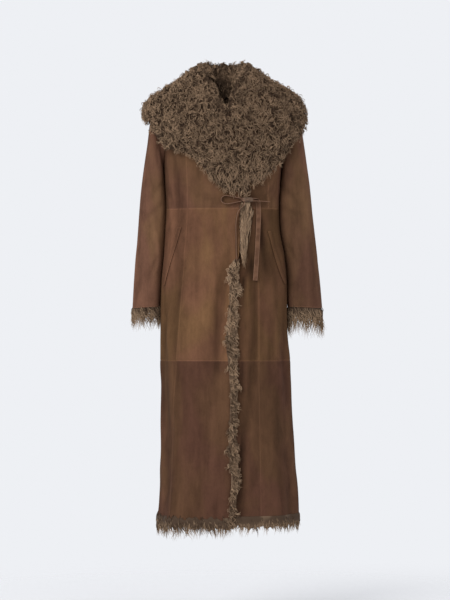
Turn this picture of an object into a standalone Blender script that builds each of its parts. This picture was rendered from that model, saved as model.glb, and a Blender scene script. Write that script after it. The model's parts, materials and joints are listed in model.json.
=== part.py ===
"""Long wrap coat of shearling: suede outside, curly wool inside, on the shawl collar and at the open edges.

Metres, +Z up. The front faces -Y and the wearer's left side is +X. The origin lies between the two neck
points, where the wearer's shoulders carry the coat. The coat keeps the hollow form that it has when worn.

A place on the coat is given by a bearing and a height. The bearing is in degrees round the body, 0 at the
centre front, +90 at the wearer's left side, -90 at the right side and 180 at the centre back.
"""

import math
import random
from collections import namedtuple

import bmesh
import bpy
import numpy as np

# --- Driving dimensions, metres -------------------------------------------------------------------------
SKIN_WALL = 0.004  # suede with the clipped wool behind it
SEAM_GAP = 0.0005  # between neighbouring pieces
SEAM_RADIUS = 0.15  # turns a width across a vertical seam into degrees round the body
SEAM_CELL = 0.02  # share of a panel's width in the narrow cells along its seams
SECTION_POWER = 2.3  # 2 is an ellipse, more is squarer

NECK_POINT_HEIGHT = 0.0
SHOULDER_DROP = 0.050  # from the neck point to the sleeve head
SHOULDER_ROUNDING = 2.4  # how late the front and back close over the shoulder
UNDERARM_HEIGHT = -0.255
WAIST_HEIGHT = -0.374
KNEE_HEIGHT = -0.825
HEM_HEIGHT = -1.300
NECK_HALF_WIDTH = 0.062
BACK_NECK_DIP = 0.030
BACK_NECK_SHARE = 0.36  # of the back's top edge, on either side of its middle
ARMHOLE_BITE = 23.0  # degrees that the armhole cuts into the front and the back
ARMHOLE_MARGIN = 0.15  # degrees from the armhole's line to the panels' cut edge
SLEEVE_HEAD_OUT = 0.0010  # the sleeve head stands this far outside the armhole
SLEEVE_HEAD_CELL = 0.04  # share of the first stretch of the sleeve in the narrow cell along its head

UNDERLAP = 0.0075  # the left front lies this far inside the right front's face
EDGE_STAND = 0.004  # the right front's open edge stands this far proud
EDGE_RISE = 0.045  # it rises over this width
UNDERLAP_EDGE_X = -0.080  # the left front's hidden edge
LEFT_HEM_START = 14  # the left front's hem wool starts here, in degrees, beside the right front's edge
UNDERLAP_RISE = (0.012, 0.050)  # the left front comes up to the face between these distances past the edge

COLLAR_SEAM = 0.3  # degrees from the centre back to each half of the collar
PILE_DEPTH = 0.020  # wool on the collar's face
PILE_BORDER = [0.30, 0.42, 0.80, 0.95]  # share of that depth in the rows from the collar's edge inwards
PILE_UNEVEN = (-0.16, 0.10)  # how far a tuft may differ from that share
PILE_WAVE = 0.07
STAND_PILE = 0.012  # wool on the collar stand, towards the neck
STAND_INSET = 0.0015  # from the collar's roll to the stand's top
STAND_RADIUS = 0.070  # the stand's top is nowhere farther than this from the neck's centre
CUFF_LOCK = 0.055
HEM_LOCK = 0.048
LOCK_BAND = 0.008  # thickness and height of the strip that a row of locks grows from
LOCK_SHORTEST = 0.72  # share of the full length
LOCK_SWAY = 0.22  # of the distance between two locks
LOCK_OUT = (-0.001, 0.0035)
CUFF_FLARE = 0.07  # how far the locks lean out for each unit down
HEM_FLARE = 0.10
EDGE_DROOP = 0.12  # how far the front edge's locks sink for each unit out

WELT_WIDTH = 0.013
WELT_THICKNESS = 0.0025
WELT_LIFT = 0.0012  # between the body's curve and the welt's back

LACE_WIDTH = 0.013
LACE_THICKNESS = 0.002
KNOT_CENTRE = (0.0670, -0.1165, -0.3490)
KNOT_SIZE = (0.034, 0.014, 0.014)
KNOT_ROUND = 0.0025

Tier = namedtuple("Tier", "low high rows")
BODICE = Tier(WAIST_HEIGHT, NECK_POINT_HEIGHT, 9)
SKIRT = Tier(KNEE_HEIGHT, WAIST_HEIGHT, 7)
LOWER = Tier(HEM_HEIGHT, KNEE_HEIGHT, 6)

BodySection = namedtuple("BodySection", "height right_half left_half front_depth back_depth")
BODY = [
    BodySection(-1.300, 0.201, 0.217, 0.150, 0.152),
    BodySection(-1.245, 0.193, 0.215, 0.147, 0.148),
    BodySection(-1.170, 0.188, 0.210, 0.143, 0.143),
    BodySection(-1.065, 0.188, 0.202, 0.138, 0.138),
    BodySection(-0.945, 0.190, 0.197, 0.133, 0.134),
    BodySection(-0.825, 0.193, 0.192, 0.128, 0.132),
    BodySection(-0.705, 0.194, 0.187, 0.124, 0.131),
    BodySection(-0.585, 0.190, 0.185, 0.121, 0.129),
    BodySection(-0.510, 0.183, 0.178, 0.117, 0.121),
    BodySection(-0.432, 0.179, 0.164, 0.110, 0.106),
    BodySection(-0.374, 0.176, 0.162, 0.106, 0.099),
    BodySection(-0.285, 0.181, 0.167, 0.118, 0.104),
    BodySection(-0.255, 0.183, 0.170, 0.120, 0.106),
    BodySection(-0.120, 0.186, 0.180, 0.120, 0.108),
    BodySection(0.000, 0.190, 0.190, 0.120, 0.108),
]

# Soft folds that widen towards the hem: a positive depth is a ridge.
Fold = namedtuple("Fold", "bearing depth half_angle top drift")
FOLDS = [
    Fold(-62, -0.006, 8, -0.40, -4),
    Fold(-44, 0.007, 9, -0.42, -3),
    Fold(-20, -0.007, 8, -0.46, 1),
    Fold(-3, 0.005, 8, -0.50, 0),
    Fold(40, 0.006, 9, -0.45, 3),
    Fold(58, -0.007, 8, -0.42, 4),
    Fold(78, 0.005, 8, -0.60, 2),
    Fold(-84, 0.005, 8, -0.70, -2),
    Fold(112, -0.008, 10, -0.45, 4),
    Fold(134, 0.010, 11, -0.42, 2),
    Fold(158, -0.010, 10, -0.44, 2),
    Fold(180, 0.009, 10, -0.46, 0),
    Fold(-160, -0.009, 10, -0.42, -2),
    Fold(-136, 0.010, 11, -0.40, -3),
    Fold(-113, -0.007, 10, -0.46, -4),
]
FOLD_RUN = 0.45  # a fold reaches its full depth this far below its top

# Front edges and panel seams, as distances from the centre front seen from the front.
Line = namedtuple("Line", "height x")
RIGHT_EDGE = [
    Line(-1.300, 0.018),
    Line(-0.900, 0.016),
    Line(-0.800, 0.010),
    Line(-0.620, 0.014),
    Line(-0.500, 0.041),
    Line(-0.374, 0.045),
    Line(-0.300, 0.048),
    Line(-0.260, 0.042),
    Line(-0.210, 0.030),
    Line(-0.160, 0.016),
    Line(-0.086, -0.004),
    Line(-0.060, -0.020),
    Line(-0.035, -0.036),
    Line(-0.010, -0.052),
    Line(0.000, -NECK_HALF_WIDTH),
]
LEFT_EDGE = [
    Line(-1.300, UNDERLAP_EDGE_X),
    Line(-0.374, UNDERLAP_EDGE_X),
    Line(-0.300, -0.055),
    Line(-0.210, -0.031),
    Line(-0.160, -0.018),
    Line(-0.100, 0.005),
    Line(-0.060, 0.022),
    Line(-0.035, 0.036),
    Line(-0.010, 0.052),
    Line(0.000, NECK_HALF_WIDTH),
]
RIGHT_PRINCESS = [
    Line(-1.300, -0.162),
    Line(-0.825, -0.142),
    Line(-0.600, -0.127),
    Line(-0.374, -0.112),
    Line(-0.276, -0.114),
    Line(-0.100, -0.118),
    Line(0.000, -0.122),
]
LEFT_PRINCESS_SKIRT = [
    Line(-1.300, 0.106),
    Line(-0.825, 0.100),
    Line(-0.600, 0.100),
    Line(-0.374, 0.108),
]
LEFT_PRINCESS_BODICE = [
    Line(-0.374, 0.128),
    Line(-0.276, 0.127),
    Line(-0.100, 0.124),
    Line(0.000, 0.122),
]

# A sleeve ring hangs between a point on the arm's outer line and one on its inner line.
SleeveRing = namedtuple("SleeveRing", "outer_x outer_height inner_x inner_height half_depth middle_y")
RIGHT_SLEEVE = [
    SleeveRing(0.210, -0.063, 0.1935, -0.259, 0.046, 0.003),
    SleeveRing(0.223, -0.102, 0.1868, -0.277, 0.057, 0.006),
    SleeveRing(0.2335, -0.180, 0.1820, -0.302, 0.061, 0.012),
    SleeveRing(0.2455, -0.262, 0.1792, -0.340, 0.061, 0.018),
    SleeveRing(0.2585, -0.393, 0.1782, -0.418, 0.058, 0.026),
    SleeveRing(0.2675, -0.510, 0.1850, -0.518, 0.053, 0.028),
    SleeveRing(0.2735, -0.590, 0.1910, -0.592, 0.049, 0.026),
    SleeveRing(0.2785, -0.669, 0.1965, -0.665, 0.047, 0.022),
]
LEFT_SLEEVE = [
    SleeveRing(0.210, -0.063, 0.1805, -0.259, 0.046, 0.003),
    SleeveRing(0.224, -0.102, 0.1730, -0.277, 0.057, 0.006),
    SleeveRing(0.2375, -0.180, 0.1680, -0.302, 0.062, 0.012),
    SleeveRing(0.2490, -0.262, 0.1656, -0.340, 0.062, 0.018),
    SleeveRing(0.2640, -0.393, 0.1647, -0.418, 0.060, 0.026),
    SleeveRing(0.2775, -0.510, 0.1805, -0.518, 0.055, 0.028),
    SleeveRing(0.2860, -0.590, 0.1870, -0.592, 0.051, 0.026),
    SleeveRing(0.2925, -0.669, 0.1920, -0.665, 0.049, 0.022),
]
SLEEVE_SIDES = 18

# The skin side of the turned-down collar is a dome from the neck out over the sleeve heads.
DomeRing = namedtuple("DomeRing", "height right left front back")
COLLAR_DOME = [
    DomeRing(-0.345, 0.246, 0.246, 0.113, 0.124),
    DomeRing(-0.300, 0.246, 0.246, 0.122, 0.128),
    DomeRing(-0.250, 0.246, 0.246, 0.128, 0.132),
    DomeRing(-0.200, 0.246, 0.246, 0.127, 0.133),
    DomeRing(-0.160, 0.245, 0.245, 0.123, 0.133),
    DomeRing(-0.100, 0.240, 0.236, 0.111, 0.128),
    DomeRing(-0.070, 0.234, 0.229, 0.102, 0.122),
    DomeRing(-0.041, 0.209, 0.210, 0.092, 0.115),
    DomeRing(-0.025, 0.184, 0.186, 0.087, 0.110),
    DomeRing(-0.006, 0.152, 0.151, 0.080, 0.104),
    DomeRing(0.012, 0.128, 0.122, 0.074, 0.098),
    DomeRing(0.031, 0.104, 0.096, 0.070, 0.091),
    DomeRing(0.050, 0.080, 0.070, 0.066, 0.081),
    DomeRing(0.066, 0.063, 0.055, 0.062, 0.072),
]

# Where the collar rolls over and where its outer edge lies, by true bearing seen from above.
Roll = namedtuple("Roll", "bearing height")
RIGHT_ROLL = [
    Roll(-180, 0.065),
    Roll(-135, 0.065),
    Roll(-90, 0.062),
    Roll(-65, 0.050),
    Roll(-45, 0.028),
    Roll(-30, 0.004),
    Roll(-15, -0.036),
    Roll(-5, -0.064),
    Roll(3, -0.084),
    Roll(13, -0.160),
    Roll(19, -0.210),
    Roll(24, -0.255),
    Roll(29, -0.295),
    Roll(32, -0.316),
]
RIGHT_RIM = [
    Roll(-180, -0.190),
    Roll(-160, -0.182),
    Roll(-135, -0.152),
    Roll(-110, -0.112),
    Roll(-90, -0.094),
    Roll(-77, -0.116),
    Roll(-69, -0.160),
    Roll(-63, -0.188),
    Roll(-55, -0.203),
    Roll(-43, -0.214),
    Roll(-33, -0.236),
    Roll(-24, -0.266),
    Roll(-14, -0.296),
    Roll(0, -0.315),
    Roll(20, -0.325),
    Roll(32, -0.328),
]
LEFT_ROLL = [
    Roll(7, -0.068),
    Roll(15, -0.034),
    Roll(28, 0.010),
    Roll(45, 0.031),
    Roll(65, 0.050),
    Roll(90, 0.062),
    Roll(135, 0.065),
    Roll(180, 0.065),
]
LEFT_RIM = [
    Roll(7, -0.100),
    Roll(14, -0.155),
    Roll(19, -0.204),
    Roll(24, -0.249),
    Roll(29, -0.288),
    Roll(34, -0.300),
    Roll(37, -0.298),
    Roll(46, -0.280),
    Roll(53, -0.255),
    Roll(59, -0.226),
    Roll(64, -0.198),
    Roll(70, -0.172),
    Roll(77, -0.148),
    Roll(83, -0.120),
    Roll(90, -0.100),
    Roll(110, -0.112),
    Roll(135, -0.152),
    Roll(160, -0.182),
    Roll(180, -0.190),
]
STAND_END = 38.0  # the stand runs round the back of the neck between these bearings
StandFoot = namedtuple("StandFoot", "bearing height radius")
STAND_FOOT = [
    StandFoot(38, -0.0200, 0.0660),
    StandFoot(60, -0.0150, 0.0625),
    StandFoot(75, -0.0110, 0.0612),
    StandFoot(90, -0.0095, 0.0612),
    StandFoot(105, -0.0130, 0.0600),
    StandFoot(120, -0.0180, 0.0590),
    StandFoot(135, -0.0240, 0.0605),
    StandFoot(150, -0.0280, 0.0640),
    StandFoot(165, -0.0292, 0.0670),
    StandFoot(180, -0.0300, 0.0672),
]

# A lock is drawn out in two steps: the share of its length, how much narrower it gets and how it sways.
LockStep = namedtuple("LockStep", "stretch narrow lean")
LOCK_STEPS = [LockStep(0.55, 0.62, 0.6), LockStep(0.45, 0.18, -0.9)]

# How far the wool stands out past the right front's edge, by height.
Reach = namedtuple("Reach", "height reach")
EDGE_WOOL = [
    Reach(-1.300, 0.028),
    Reach(-0.600, 0.030),
    Reach(-0.560, 0.030),
    Reach(-0.530, 0.016),
    Reach(-0.450, 0.018),
    Reach(-0.420, 0.026),
    Reach(-0.364, 0.028),
]

# The pocket mouths' lines run from top to bottom, as distances from the centre front.
Welt = namedtuple("Welt", "name side top_x top_height bottom_x bottom_height")
WELTS = [
    Welt("right_pocket_welt", -1, 0.139, -0.429, 0.184, -0.600),
    Welt("left_pocket_welt", 1, 0.134, -0.441, 0.180, -0.597),
]

# The waist lace. flat is the bearing of the lace's flat direction from +X towards the front, in degrees.
Turn = namedtuple("Turn", "x y height flat")
RIGHT_LEAD = [Turn(0.0460, -0.1168, -0.3490, 80), Turn(0.0496, -0.1168, -0.3490, 80)]
LEFT_LEAD = [
    Turn(0.1296, -0.0817, -0.3545, 54),
    Turn(0.1110, -0.1020, -0.3537, 66),
    Turn(0.0930, -0.1140, -0.3530, 80),
    Turn(0.0846, -0.1150, -0.3528, 85),
]
BOW_LOOP = [
    Turn(0.0492, -0.1170, -0.3450, 80),
    Turn(0.0330, -0.1187, -0.3425, 80),
    Turn(0.0120, -0.1181, -0.3380, 85),
    Turn(-0.0020, -0.1170, -0.3375, 88),
    Turn(-0.0100, -0.1160, -0.3440, 92),
    Turn(-0.0100, -0.1160, -0.3530, 95),
    Turn(-0.0020, -0.1160, -0.3595, 90),
    Turn(0.0200, -0.1165, -0.3585, 85),
    Turn(0.0496, -0.1170, -0.3530, 80),
]
RIGHT_TAIL = [
    Turn(0.0560, -0.1180, -0.3570, 75),
    Turn(0.0552, -0.1195, -0.3650, 72),
    Turn(0.0430, -0.1220, -0.3850, 68),
    Turn(0.0335, -0.1205, -0.4080, 70),
    Turn(0.0320, -0.1240, -0.4700, 70),
    Turn(0.0345, -0.1290, -0.5310, 70),
]
LEFT_TAIL = [
    Turn(0.0846, -0.1130, -0.3460, 75),
    Turn(0.0890, -0.1110, -0.3462, 60),
    Turn(0.0940, -0.1020, -0.3480, 30),
    Turn(0.0972, -0.0952, -0.3540, 6),
    Turn(0.0985, -0.0948, -0.3640, 4),
    Turn(0.0995, -0.0950, -0.3900, 2),
    Turn(0.0975, -0.1010, -0.4500, 0),
    Turn(0.0930, -0.1120, -0.5310, 0),
    Turn(0.0890, -0.1160, -0.5880, 0),
]
TIE_LACES = [
    ("tie_right_lead", RIGHT_LEAD, 2),
    ("tie_left_lead", LEFT_LEAD, 8),
    ("tie_bow", BOW_LOOP, 24),
    ("tie_right_tail", RIGHT_TAIL, 14),
    ("tie_left_tail", LEFT_TAIL, 18),
]

Finish = namedtuple("Finish", "colour roughness")
SUEDE = Finish((0.135, 0.075, 0.042), 0.92)
SUEDE_DARK = Finish((0.092, 0.050, 0.030), 0.92)
WOOL = Finish((0.120, 0.082, 0.053), 0.95)
WOOL_SHADE = Finish((0.070, 0.046, 0.031), 0.95)


# --- Curves and surfaces --------------------------------------------------------------------------------
def smooth(x, table, column):
    """A column of a table at x, along a curve that keeps to the rows and never overshoots them."""
    xs = np.array([row[0] for row in table], float)
    ys = np.array([getattr(row, column) for row in table], float)
    slopes = np.diff(ys) / np.diff(xs)
    tangents = np.zeros(len(xs))
    same_way = slopes[:-1] * slopes[1:] > 0
    sums = np.where(same_way, slopes[:-1] + slopes[1:], 1.0)
    tangents[1:-1] = np.where(same_way, 2 * slopes[:-1] * slopes[1:] / sums, 0.0)
    tangents[0], tangents[-1] = slopes[0], slopes[-1]
    x = np.clip(np.asarray(x, float), xs[0], xs[-1])
    i = np.clip(np.searchsorted(xs, x, side="right") - 1, 0, len(xs) - 2)
    step = xs[i + 1] - xs[i]
    t = (x - xs[i]) / step
    rise = t * t * (3 - 2 * t)
    lead = tangents[i] * step * t * (1 - t) ** 2
    follow = tangents[i + 1] * step * t * t * (t - 1)
    return ys[i] * (1 - rise) + ys[i + 1] * rise + lead + follow


def smoothstep(x, start, end):
    """0 before start, 1 after end, and an S curve between them."""
    t = np.clip((x - start) / (end - start), 0, 1)
    return t * t * (3 - 2 * t)


def half_width(side, height):
    """Half the body's width at a height, on the right side where side is negative."""
    right, left = smooth(height, BODY, "right_half"), smooth(height, BODY, "left_half")
    return np.where(side < 0, right, left)


def bearing_at(x, height):
    """The bearing of the point of the front that stands x from the centre, seen from the front."""
    share = np.clip(np.abs(x) / half_width(x, height), 0, 1)
    forward = (1 - share**SECTION_POWER) ** (1 / SECTION_POWER)
    return np.degrees(np.arctan2(share, forward)) * np.sign(x)


def fold_depth(bearing, height):
    """How far the folds push the cloth out."""
    total = np.zeros(np.broadcast(bearing, height).shape)
    for fold in FOLDS:
        run = smoothstep(fold.top - height, 0, FOLD_RUN)
        away = (bearing - fold.bearing - fold.drift * run + 180) % 360 - 180
        total += fold.depth * run * np.exp(-((away / fold.half_angle) ** 2))
    return total


def body_surface(bearing, height, lift=0.0):
    """Points of the coat's outer face, moved out by lift.

    Each section is a super-ellipse. Above the underarm its depths close over the shoulder like an arch, and
    its sides sink by the shoulder's slope.
    """
    bearing, height = np.broadcast_arrays(np.asarray(bearing, float), np.asarray(height, float))
    sine, cosine = np.sin(np.radians(bearing)), np.cos(np.radians(bearing))
    unit = (np.abs(sine) ** SECTION_POWER + np.abs(cosine) ** SECTION_POWER) ** (-1 / SECTION_POWER)
    rise = np.clip((height - UNDERARM_HEIGHT) / (NECK_POINT_HEIGHT - UNDERARM_HEIGHT), 0, 1)
    arch = np.sqrt(np.clip(1 - rise**SHOULDER_ROUNDING, 0, 1))
    front, back = smooth(height, BODY, "front_depth"), smooth(height, BODY, "back_depth")
    depth = np.where(cosine > 0, front, back) * arch
    width = half_width(sine, height)
    x, y = width * sine * unit, -depth * cosine * unit
    z = height - SHOULDER_DROP * rise**2 * np.abs(sine * unit) ** 1.5
    out_x, out_y = sine / width, -cosine / np.maximum(depth, 0.02)
    length = np.hypot(out_x, out_y)
    out = fold_depth(bearing, height) + lift
    return np.stack([x + out * out_x / length, y + out * out_y / length, z], -1)


def armhole_heights(turn):
    """Heights of the armhole's points, at turns from the shoulder tip, where it is pi at the underarm."""
    return UNDERARM_HEIGHT * (1 - np.cos(turn)) / 2


def armhole_bearing(height):
    """How far from the side seam the armhole's front and back edges lie at a height, in degrees."""
    rise = np.clip((height - UNDERARM_HEIGHT) / (NECK_POINT_HEIGHT - UNDERARM_HEIGHT), 0, 1)
    return ARMHOLE_BITE * np.sqrt(1 - (1 - rise) ** 3)


def cells(count):
    """Shares from 0 to 1 in even steps, with a narrow step at either end that keeps seam edges square."""
    return np.concatenate([[0], np.linspace(SEAM_CELL, 1 - SEAM_CELL, count + 1), [1]])


def tier_heights(tier):
    """Heights of the rows of a tier's panels. Above the underarm they are those of the armhole's points."""
    low, high = tier.low + SEAM_GAP / 2, tier.high - SEAM_GAP / 2
    if tier.high < NECK_POINT_HEIGHT:
        return low + (high - low) * cells(tier.rows)
    straight = np.linspace(low, UNDERARM_HEIGHT, 4)[:-1]
    arch = armhole_heights(np.linspace(math.pi, 0, SLEEVE_SIDES // 2 + 1))
    arch = np.concatenate([arch[:-1], [UNDERARM_HEIGHT * 0.0004, 0]])
    return np.concatenate([straight[:1], straight[:1] + 0.004, straight[1:], arch])


# --- Blender objects ------------------------------------------------------------------------------------
def clear_scene():
    for obj in list(bpy.data.objects):
        bpy.data.objects.remove(obj, do_unlink=True)


def new_collection(name):
    collection = bpy.data.collections.new(name)
    bpy.context.scene.collection.children.link(collection)
    return collection


def material(name, finish):
    made = bpy.data.materials.new(name)
    made.use_nodes = True
    shader = made.node_tree.nodes["Principled BSDF"]
    shader.inputs["Base Color"].default_value = (*finish.colour, 1)
    shader.inputs["Roughness"].default_value = finish.roughness
    shader.inputs["Metallic"].default_value = 0
    made.diffuse_color = (*finish.colour, 1)
    return made


def add_object(name, bm, finish):
    """Turns a bmesh into an object of the coat's collection, with a material of its own."""
    mesh = bpy.data.meshes.new(name)
    bm.to_mesh(mesh)
    bm.free()
    mesh.shade_smooth()
    mesh.set_sharp_from_angle(angle=math.radians(40))
    mesh.materials.append(material(name, finish))
    obj = bpy.data.objects.new(name, mesh)
    coat.objects.link(obj)
    return obj


def add_wall(name, points, finish, thickness, outward, closed=False, pile=None):
    """A cloth wall: a grid of points [row, column] given its thickness by Solidify.

    outward is +1 where the grid is the inner face and -1 where it is the outer one. pile is the share of the
    thickness at each point.
    """
    rows, columns = points.shape[:2]
    bm = bmesh.new()
    grid = [[bm.verts.new(points[i, j]) for j in range(columns)] for i in range(rows)]
    for i in range(rows - 1):
        for j in range(columns if closed else columns - 1):
            k = (j + 1) % columns
            bm.faces.new((grid[i][j], grid[i][k], grid[i + 1][k], grid[i + 1][j]))
    obj = add_object(name, bm, finish)
    solidify = obj.modifiers.new("Thickness", "SOLIDIFY")
    solidify.thickness = thickness
    solidify.offset = outward
    if pile is not None:
        group = obj.vertex_groups.new(name="pile")
        for index, share in enumerate(pile.ravel()):
            group.add([index], float(share), "REPLACE")
        solidify.vertex_group = group.name
    return obj


# --- Pieces ---------------------------------------------------------------------------------------------
def front_lift(x, edge_x, is_right):
    """The right front rises a little to its open edge, and the left front dips under it."""
    if is_right:
        return EDGE_STAND * smoothstep(x, edge_x - EDGE_RISE, edge_x)
    return -UNDERLAP * (1 - smoothstep(x, edge_x + UNDERLAP_RISE[0], edge_x + UNDERLAP_RISE[1]))


def add_front_panel(name, tier, start, end, finish, across=5):
    """A front piece between two vertical lines, which are tables of Line or the side seam's bearing."""
    is_right = name.startswith("right")
    height = tier_heights(tier)[:, None]
    limits = []
    for line in (start, end):
        if isinstance(line, (int, float)):
            limits.append(line - np.sign(line) * (armhole_bearing(height) + ARMHOLE_MARGIN))
        else:
            limits.append(bearing_at(smooth(height, line, "x"), height))
    seam = math.degrees(SEAM_GAP / 2 / SEAM_RADIUS)
    first, last = limits[0] + seam, limits[1] - seam
    bearing = first + (last - first) * cells(across)[None, :]
    edge_x = smooth(height, RIGHT_EDGE, "x")
    rough_x = body_surface(bearing, height)[..., 0]
    points = body_surface(bearing, height, front_lift(rough_x, edge_x, is_right))
    if tier is BODICE:
        points[..., 1] = np.minimum(points[..., 1], -SEAM_GAP / 2)
    return add_wall(name, points, finish, SKIN_WALL, -1)


def add_back_panel(name, tier, finish, across=15):
    """A back piece from side seam to side seam. The bodice's top follows the shoulders and the neck."""
    height = tier_heights(tier)[:, None]
    seam = math.degrees(SEAM_GAP / 2 / SEAM_RADIUS)
    reach = 90 - armhole_bearing(height) - ARMHOLE_MARGIN - seam
    share = 2 * cells(across)[None, :] - 1
    if tier is BODICE:
        neck = BACK_NECK_DIP * np.sqrt(np.clip(1 - (share / BACK_NECK_SHARE) ** 2, 0, 1))
        rise = np.clip((height - UNDERARM_HEIGHT) / -UNDERARM_HEIGHT, 0, 1)
        height = height - neck * rise
    points = body_surface(180 + share * reach, height)
    if tier is BODICE:
        points[..., 1] = np.maximum(points[..., 1], SEAM_GAP / 2)
    return add_wall(name, points, finish, SKIN_WALL, -1)


def armhole_ring(side):
    """Points round the armhole, from the shoulder tip down its front edge and up its back edge."""
    turn = np.linspace(0, 2 * math.pi, SLEEVE_SIDES, endpoint=False)
    height = armhole_heights(turn)
    bite = armhole_bearing(height)
    bearing = np.where(turn <= math.pi, 90 - bite, 90 + bite)
    return body_surface(side * bearing, height)


def sleeve_points(side, table):
    """Rings from the armhole to the cuff. Each is an oval between the arm's outer and inner line."""
    turn = np.linspace(0, 2 * math.pi, SLEEVE_SIDES, endpoint=False)[None, :, None]
    rings = np.array(table)
    outer = np.stack([side * rings[:, 0], rings[:, 5], rings[:, 1]], -1)[:, None, :]
    inner = np.stack([side * rings[:, 2], rings[:, 5], rings[:, 3]], -1)[:, None, :]
    forward = np.stack([0 * rings[:, 4], -rings[:, 4], 0 * rings[:, 4]], -1)[:, None, :]
    ovals = (outer + inner) / 2 + np.cos(turn) * (outer - inner) / 2 + np.sin(turn) * forward
    head = armhole_ring(side) + np.array([side * SLEEVE_HEAD_OUT, 0, 0])
    seam = head + (ovals[0] - head) * SLEEVE_HEAD_CELL
    cuff = ovals[-1] + (ovals[-2] - ovals[-1]) * SEAM_CELL
    return np.concatenate([[head, seam], ovals[:-1], [cuff, ovals[-1]]])


def add_sleeve(name, side, table):
    points = sleeve_points(side, table)
    if side < 0:
        points = points[:, ::-1]
    return add_wall(name, points, SUEDE, SKIN_WALL, -1, closed=True)


def dome_point(bearing, height):
    """A point of the collar's skin side, in a true bearing from the neck's centre."""
    sine, cosine = np.sin(np.radians(bearing)), np.cos(np.radians(bearing))
    side = np.where(sine < 0, smooth(height, COLLAR_DOME, "right"), smooth(height, COLLAR_DOME, "left"))
    front, back = smooth(height, COLLAR_DOME, "front"), smooth(height, COLLAR_DOME, "back")
    depth = np.where(cosine > 0, front, back)
    radius = (np.abs(sine / side) ** SECTION_POWER + np.abs(cosine / depth) ** SECTION_POWER) ** (
        -1 / SECTION_POWER
    )
    return np.stack([radius * sine, -radius * cosine, np.broadcast_to(height, radius.shape)], -1)


def collar_points(bearings, roll, rim, rows):
    """Columns that run down the dome from the roll to the rim, with their points evenly spaced."""
    shares = cells(rows)
    columns = []
    for bearing in bearings:
        top, bottom = smooth(bearing, roll, "height"), smooth(bearing, rim, "height")
        fine = dome_point(bearing, np.linspace(top, bottom, 120))
        run = np.concatenate([[0], np.cumsum(np.linalg.norm(np.diff(fine, axis=0), axis=1))])
        columns.append([np.interp(shares * run[-1], run, fine[:, axis]) for axis in range(3)])
    return np.array(columns).transpose(2, 0, 1)


def pile_shares(rows, columns, seed):
    """Thickness of the wool at each point: tufts of uneven height, lower along the edges."""
    dice = random.Random(seed)
    across, down = np.meshgrid(np.arange(columns), np.arange(rows))
    tufts = np.array([[dice.uniform(*PILE_UNEVEN) for _ in range(columns)] for _ in range(rows)])
    waves = PILE_WAVE * np.sin(across * 1.9 + 0.8 * np.sin(down * 1.3)) * np.sin(down * 1.6)
    inset = np.minimum.reduce([across, columns - 1 - across, down, rows - 1 - down])
    border = np.array(PILE_BORDER)[np.clip(inset, 0, len(PILE_BORDER) - 1)]
    return np.clip(border * (0.95 + tufts + waves), 0.12, 1)


def add_collar_half(name, start, end, count, roll, rim, seed, rows=8):
    bearings = start + (end - start) * cells(count)
    points = collar_points(bearings, roll, rim, rows)[:, ::-1]
    shares = pile_shares(*points.shape[:2], seed)
    return add_wall(name, points, WOOL, PILE_DEPTH, 1, pile=shares)


def add_collar_stand():
    """The collar's upright part round the back of the neck, with its wool towards the neck."""
    bearings = STAND_END + (360 - 2 * STAND_END) * cells(18)
    mirrored = np.minimum(bearings, 360 - bearings)
    foot, foot_radius = smooth(mirrored, STAND_FOOT, "height"), smooth(mirrored, STAND_FOOT, "radius")
    top = smooth(mirrored, LEFT_ROLL, "height") - 2 * SEAM_GAP
    roll = dome_point(bearings, top)
    top_radius = np.minimum(np.hypot(roll[:, 0], roll[:, 1]) - STAND_INSET, STAND_RADIUS)
    share = cells(3)[:, None]
    height = foot + (top - foot) * share
    radius = foot_radius + (top_radius - foot_radius) * share
    sine, cosine = np.sin(np.radians(bearings)), np.cos(np.radians(bearings))
    points = np.stack([radius * sine, -radius * cosine, height], -1)
    return add_wall("collar_stand", points, WOOL_SHADE, STAND_PILE, -1)


def add_locks(name, rail, growth, facing, length, seed, closed=False):
    """A row of wool locks on a narrow strip.

    rail is a line of points, growth the way the locks grow at each point, facing the way the strip's outer
    side looks, and length the locks' length. Each cell of the strip's lower face is drawn out into one lock.
    """
    dice = random.Random(seed)
    length = np.broadcast_to(length, len(rail))
    half = LOCK_BAND / 2 * facing
    corners = [rail + half, rail + half + growth * LOCK_BAND, rail - half + growth * LOCK_BAND, rail - half]
    bm = bmesh.new()
    lines = [[bm.verts.new(point) for point in corner] for corner in corners]
    count = len(rail)
    roots = []
    for i in range(count if closed else count - 1):
        j = (i + 1) % count
        for side in range(4):
            a, b = lines[side], lines[(side + 1) % 4]
            face = bm.faces.new((a[i], b[i], b[j], a[j]))
            if side == 1:
                roots.append((face, (growth[i] + growth[j]) / 2, rail[j] - rail[i], facing[i], length[i]))
    if not closed:
        bm.faces.new([line[0] for line in reversed(lines)])
        bm.faces.new([line[-1] for line in lines])
    for face, along, step, out, full in roots:
        reach = full * dice.uniform(LOCK_SHORTEST, 1.0)
        sway = step * dice.uniform(-LOCK_SWAY, LOCK_SWAY) + out * dice.uniform(*LOCK_OUT)
        for stretch, narrow, lean in LOCK_STEPS:
            face = bmesh.ops.extrude_discrete_faces(bm, faces=[face])["faces"][0]
            centre = np.array(face.calc_center_median())
            moved = centre + along * reach * stretch + sway * lean
            for vert in face.verts:
                vert.co = moved + (np.array(vert.co) - centre) * narrow
    bmesh.ops.recalc_face_normals(bm, faces=bm.faces)
    return add_object(name, bm, WOOL)


def even(line, count, closed=False):
    """count points evenly along a line of points."""
    if closed:
        line = np.concatenate([line, line[:1]])
    run = np.concatenate([[0], np.cumsum(np.linalg.norm(np.diff(line, axis=0), axis=1))])
    at = np.linspace(0, run[-1], count, endpoint=not closed)
    return np.stack([np.interp(at, run, line[:, axis]) for axis in range(3)], -1)


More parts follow.
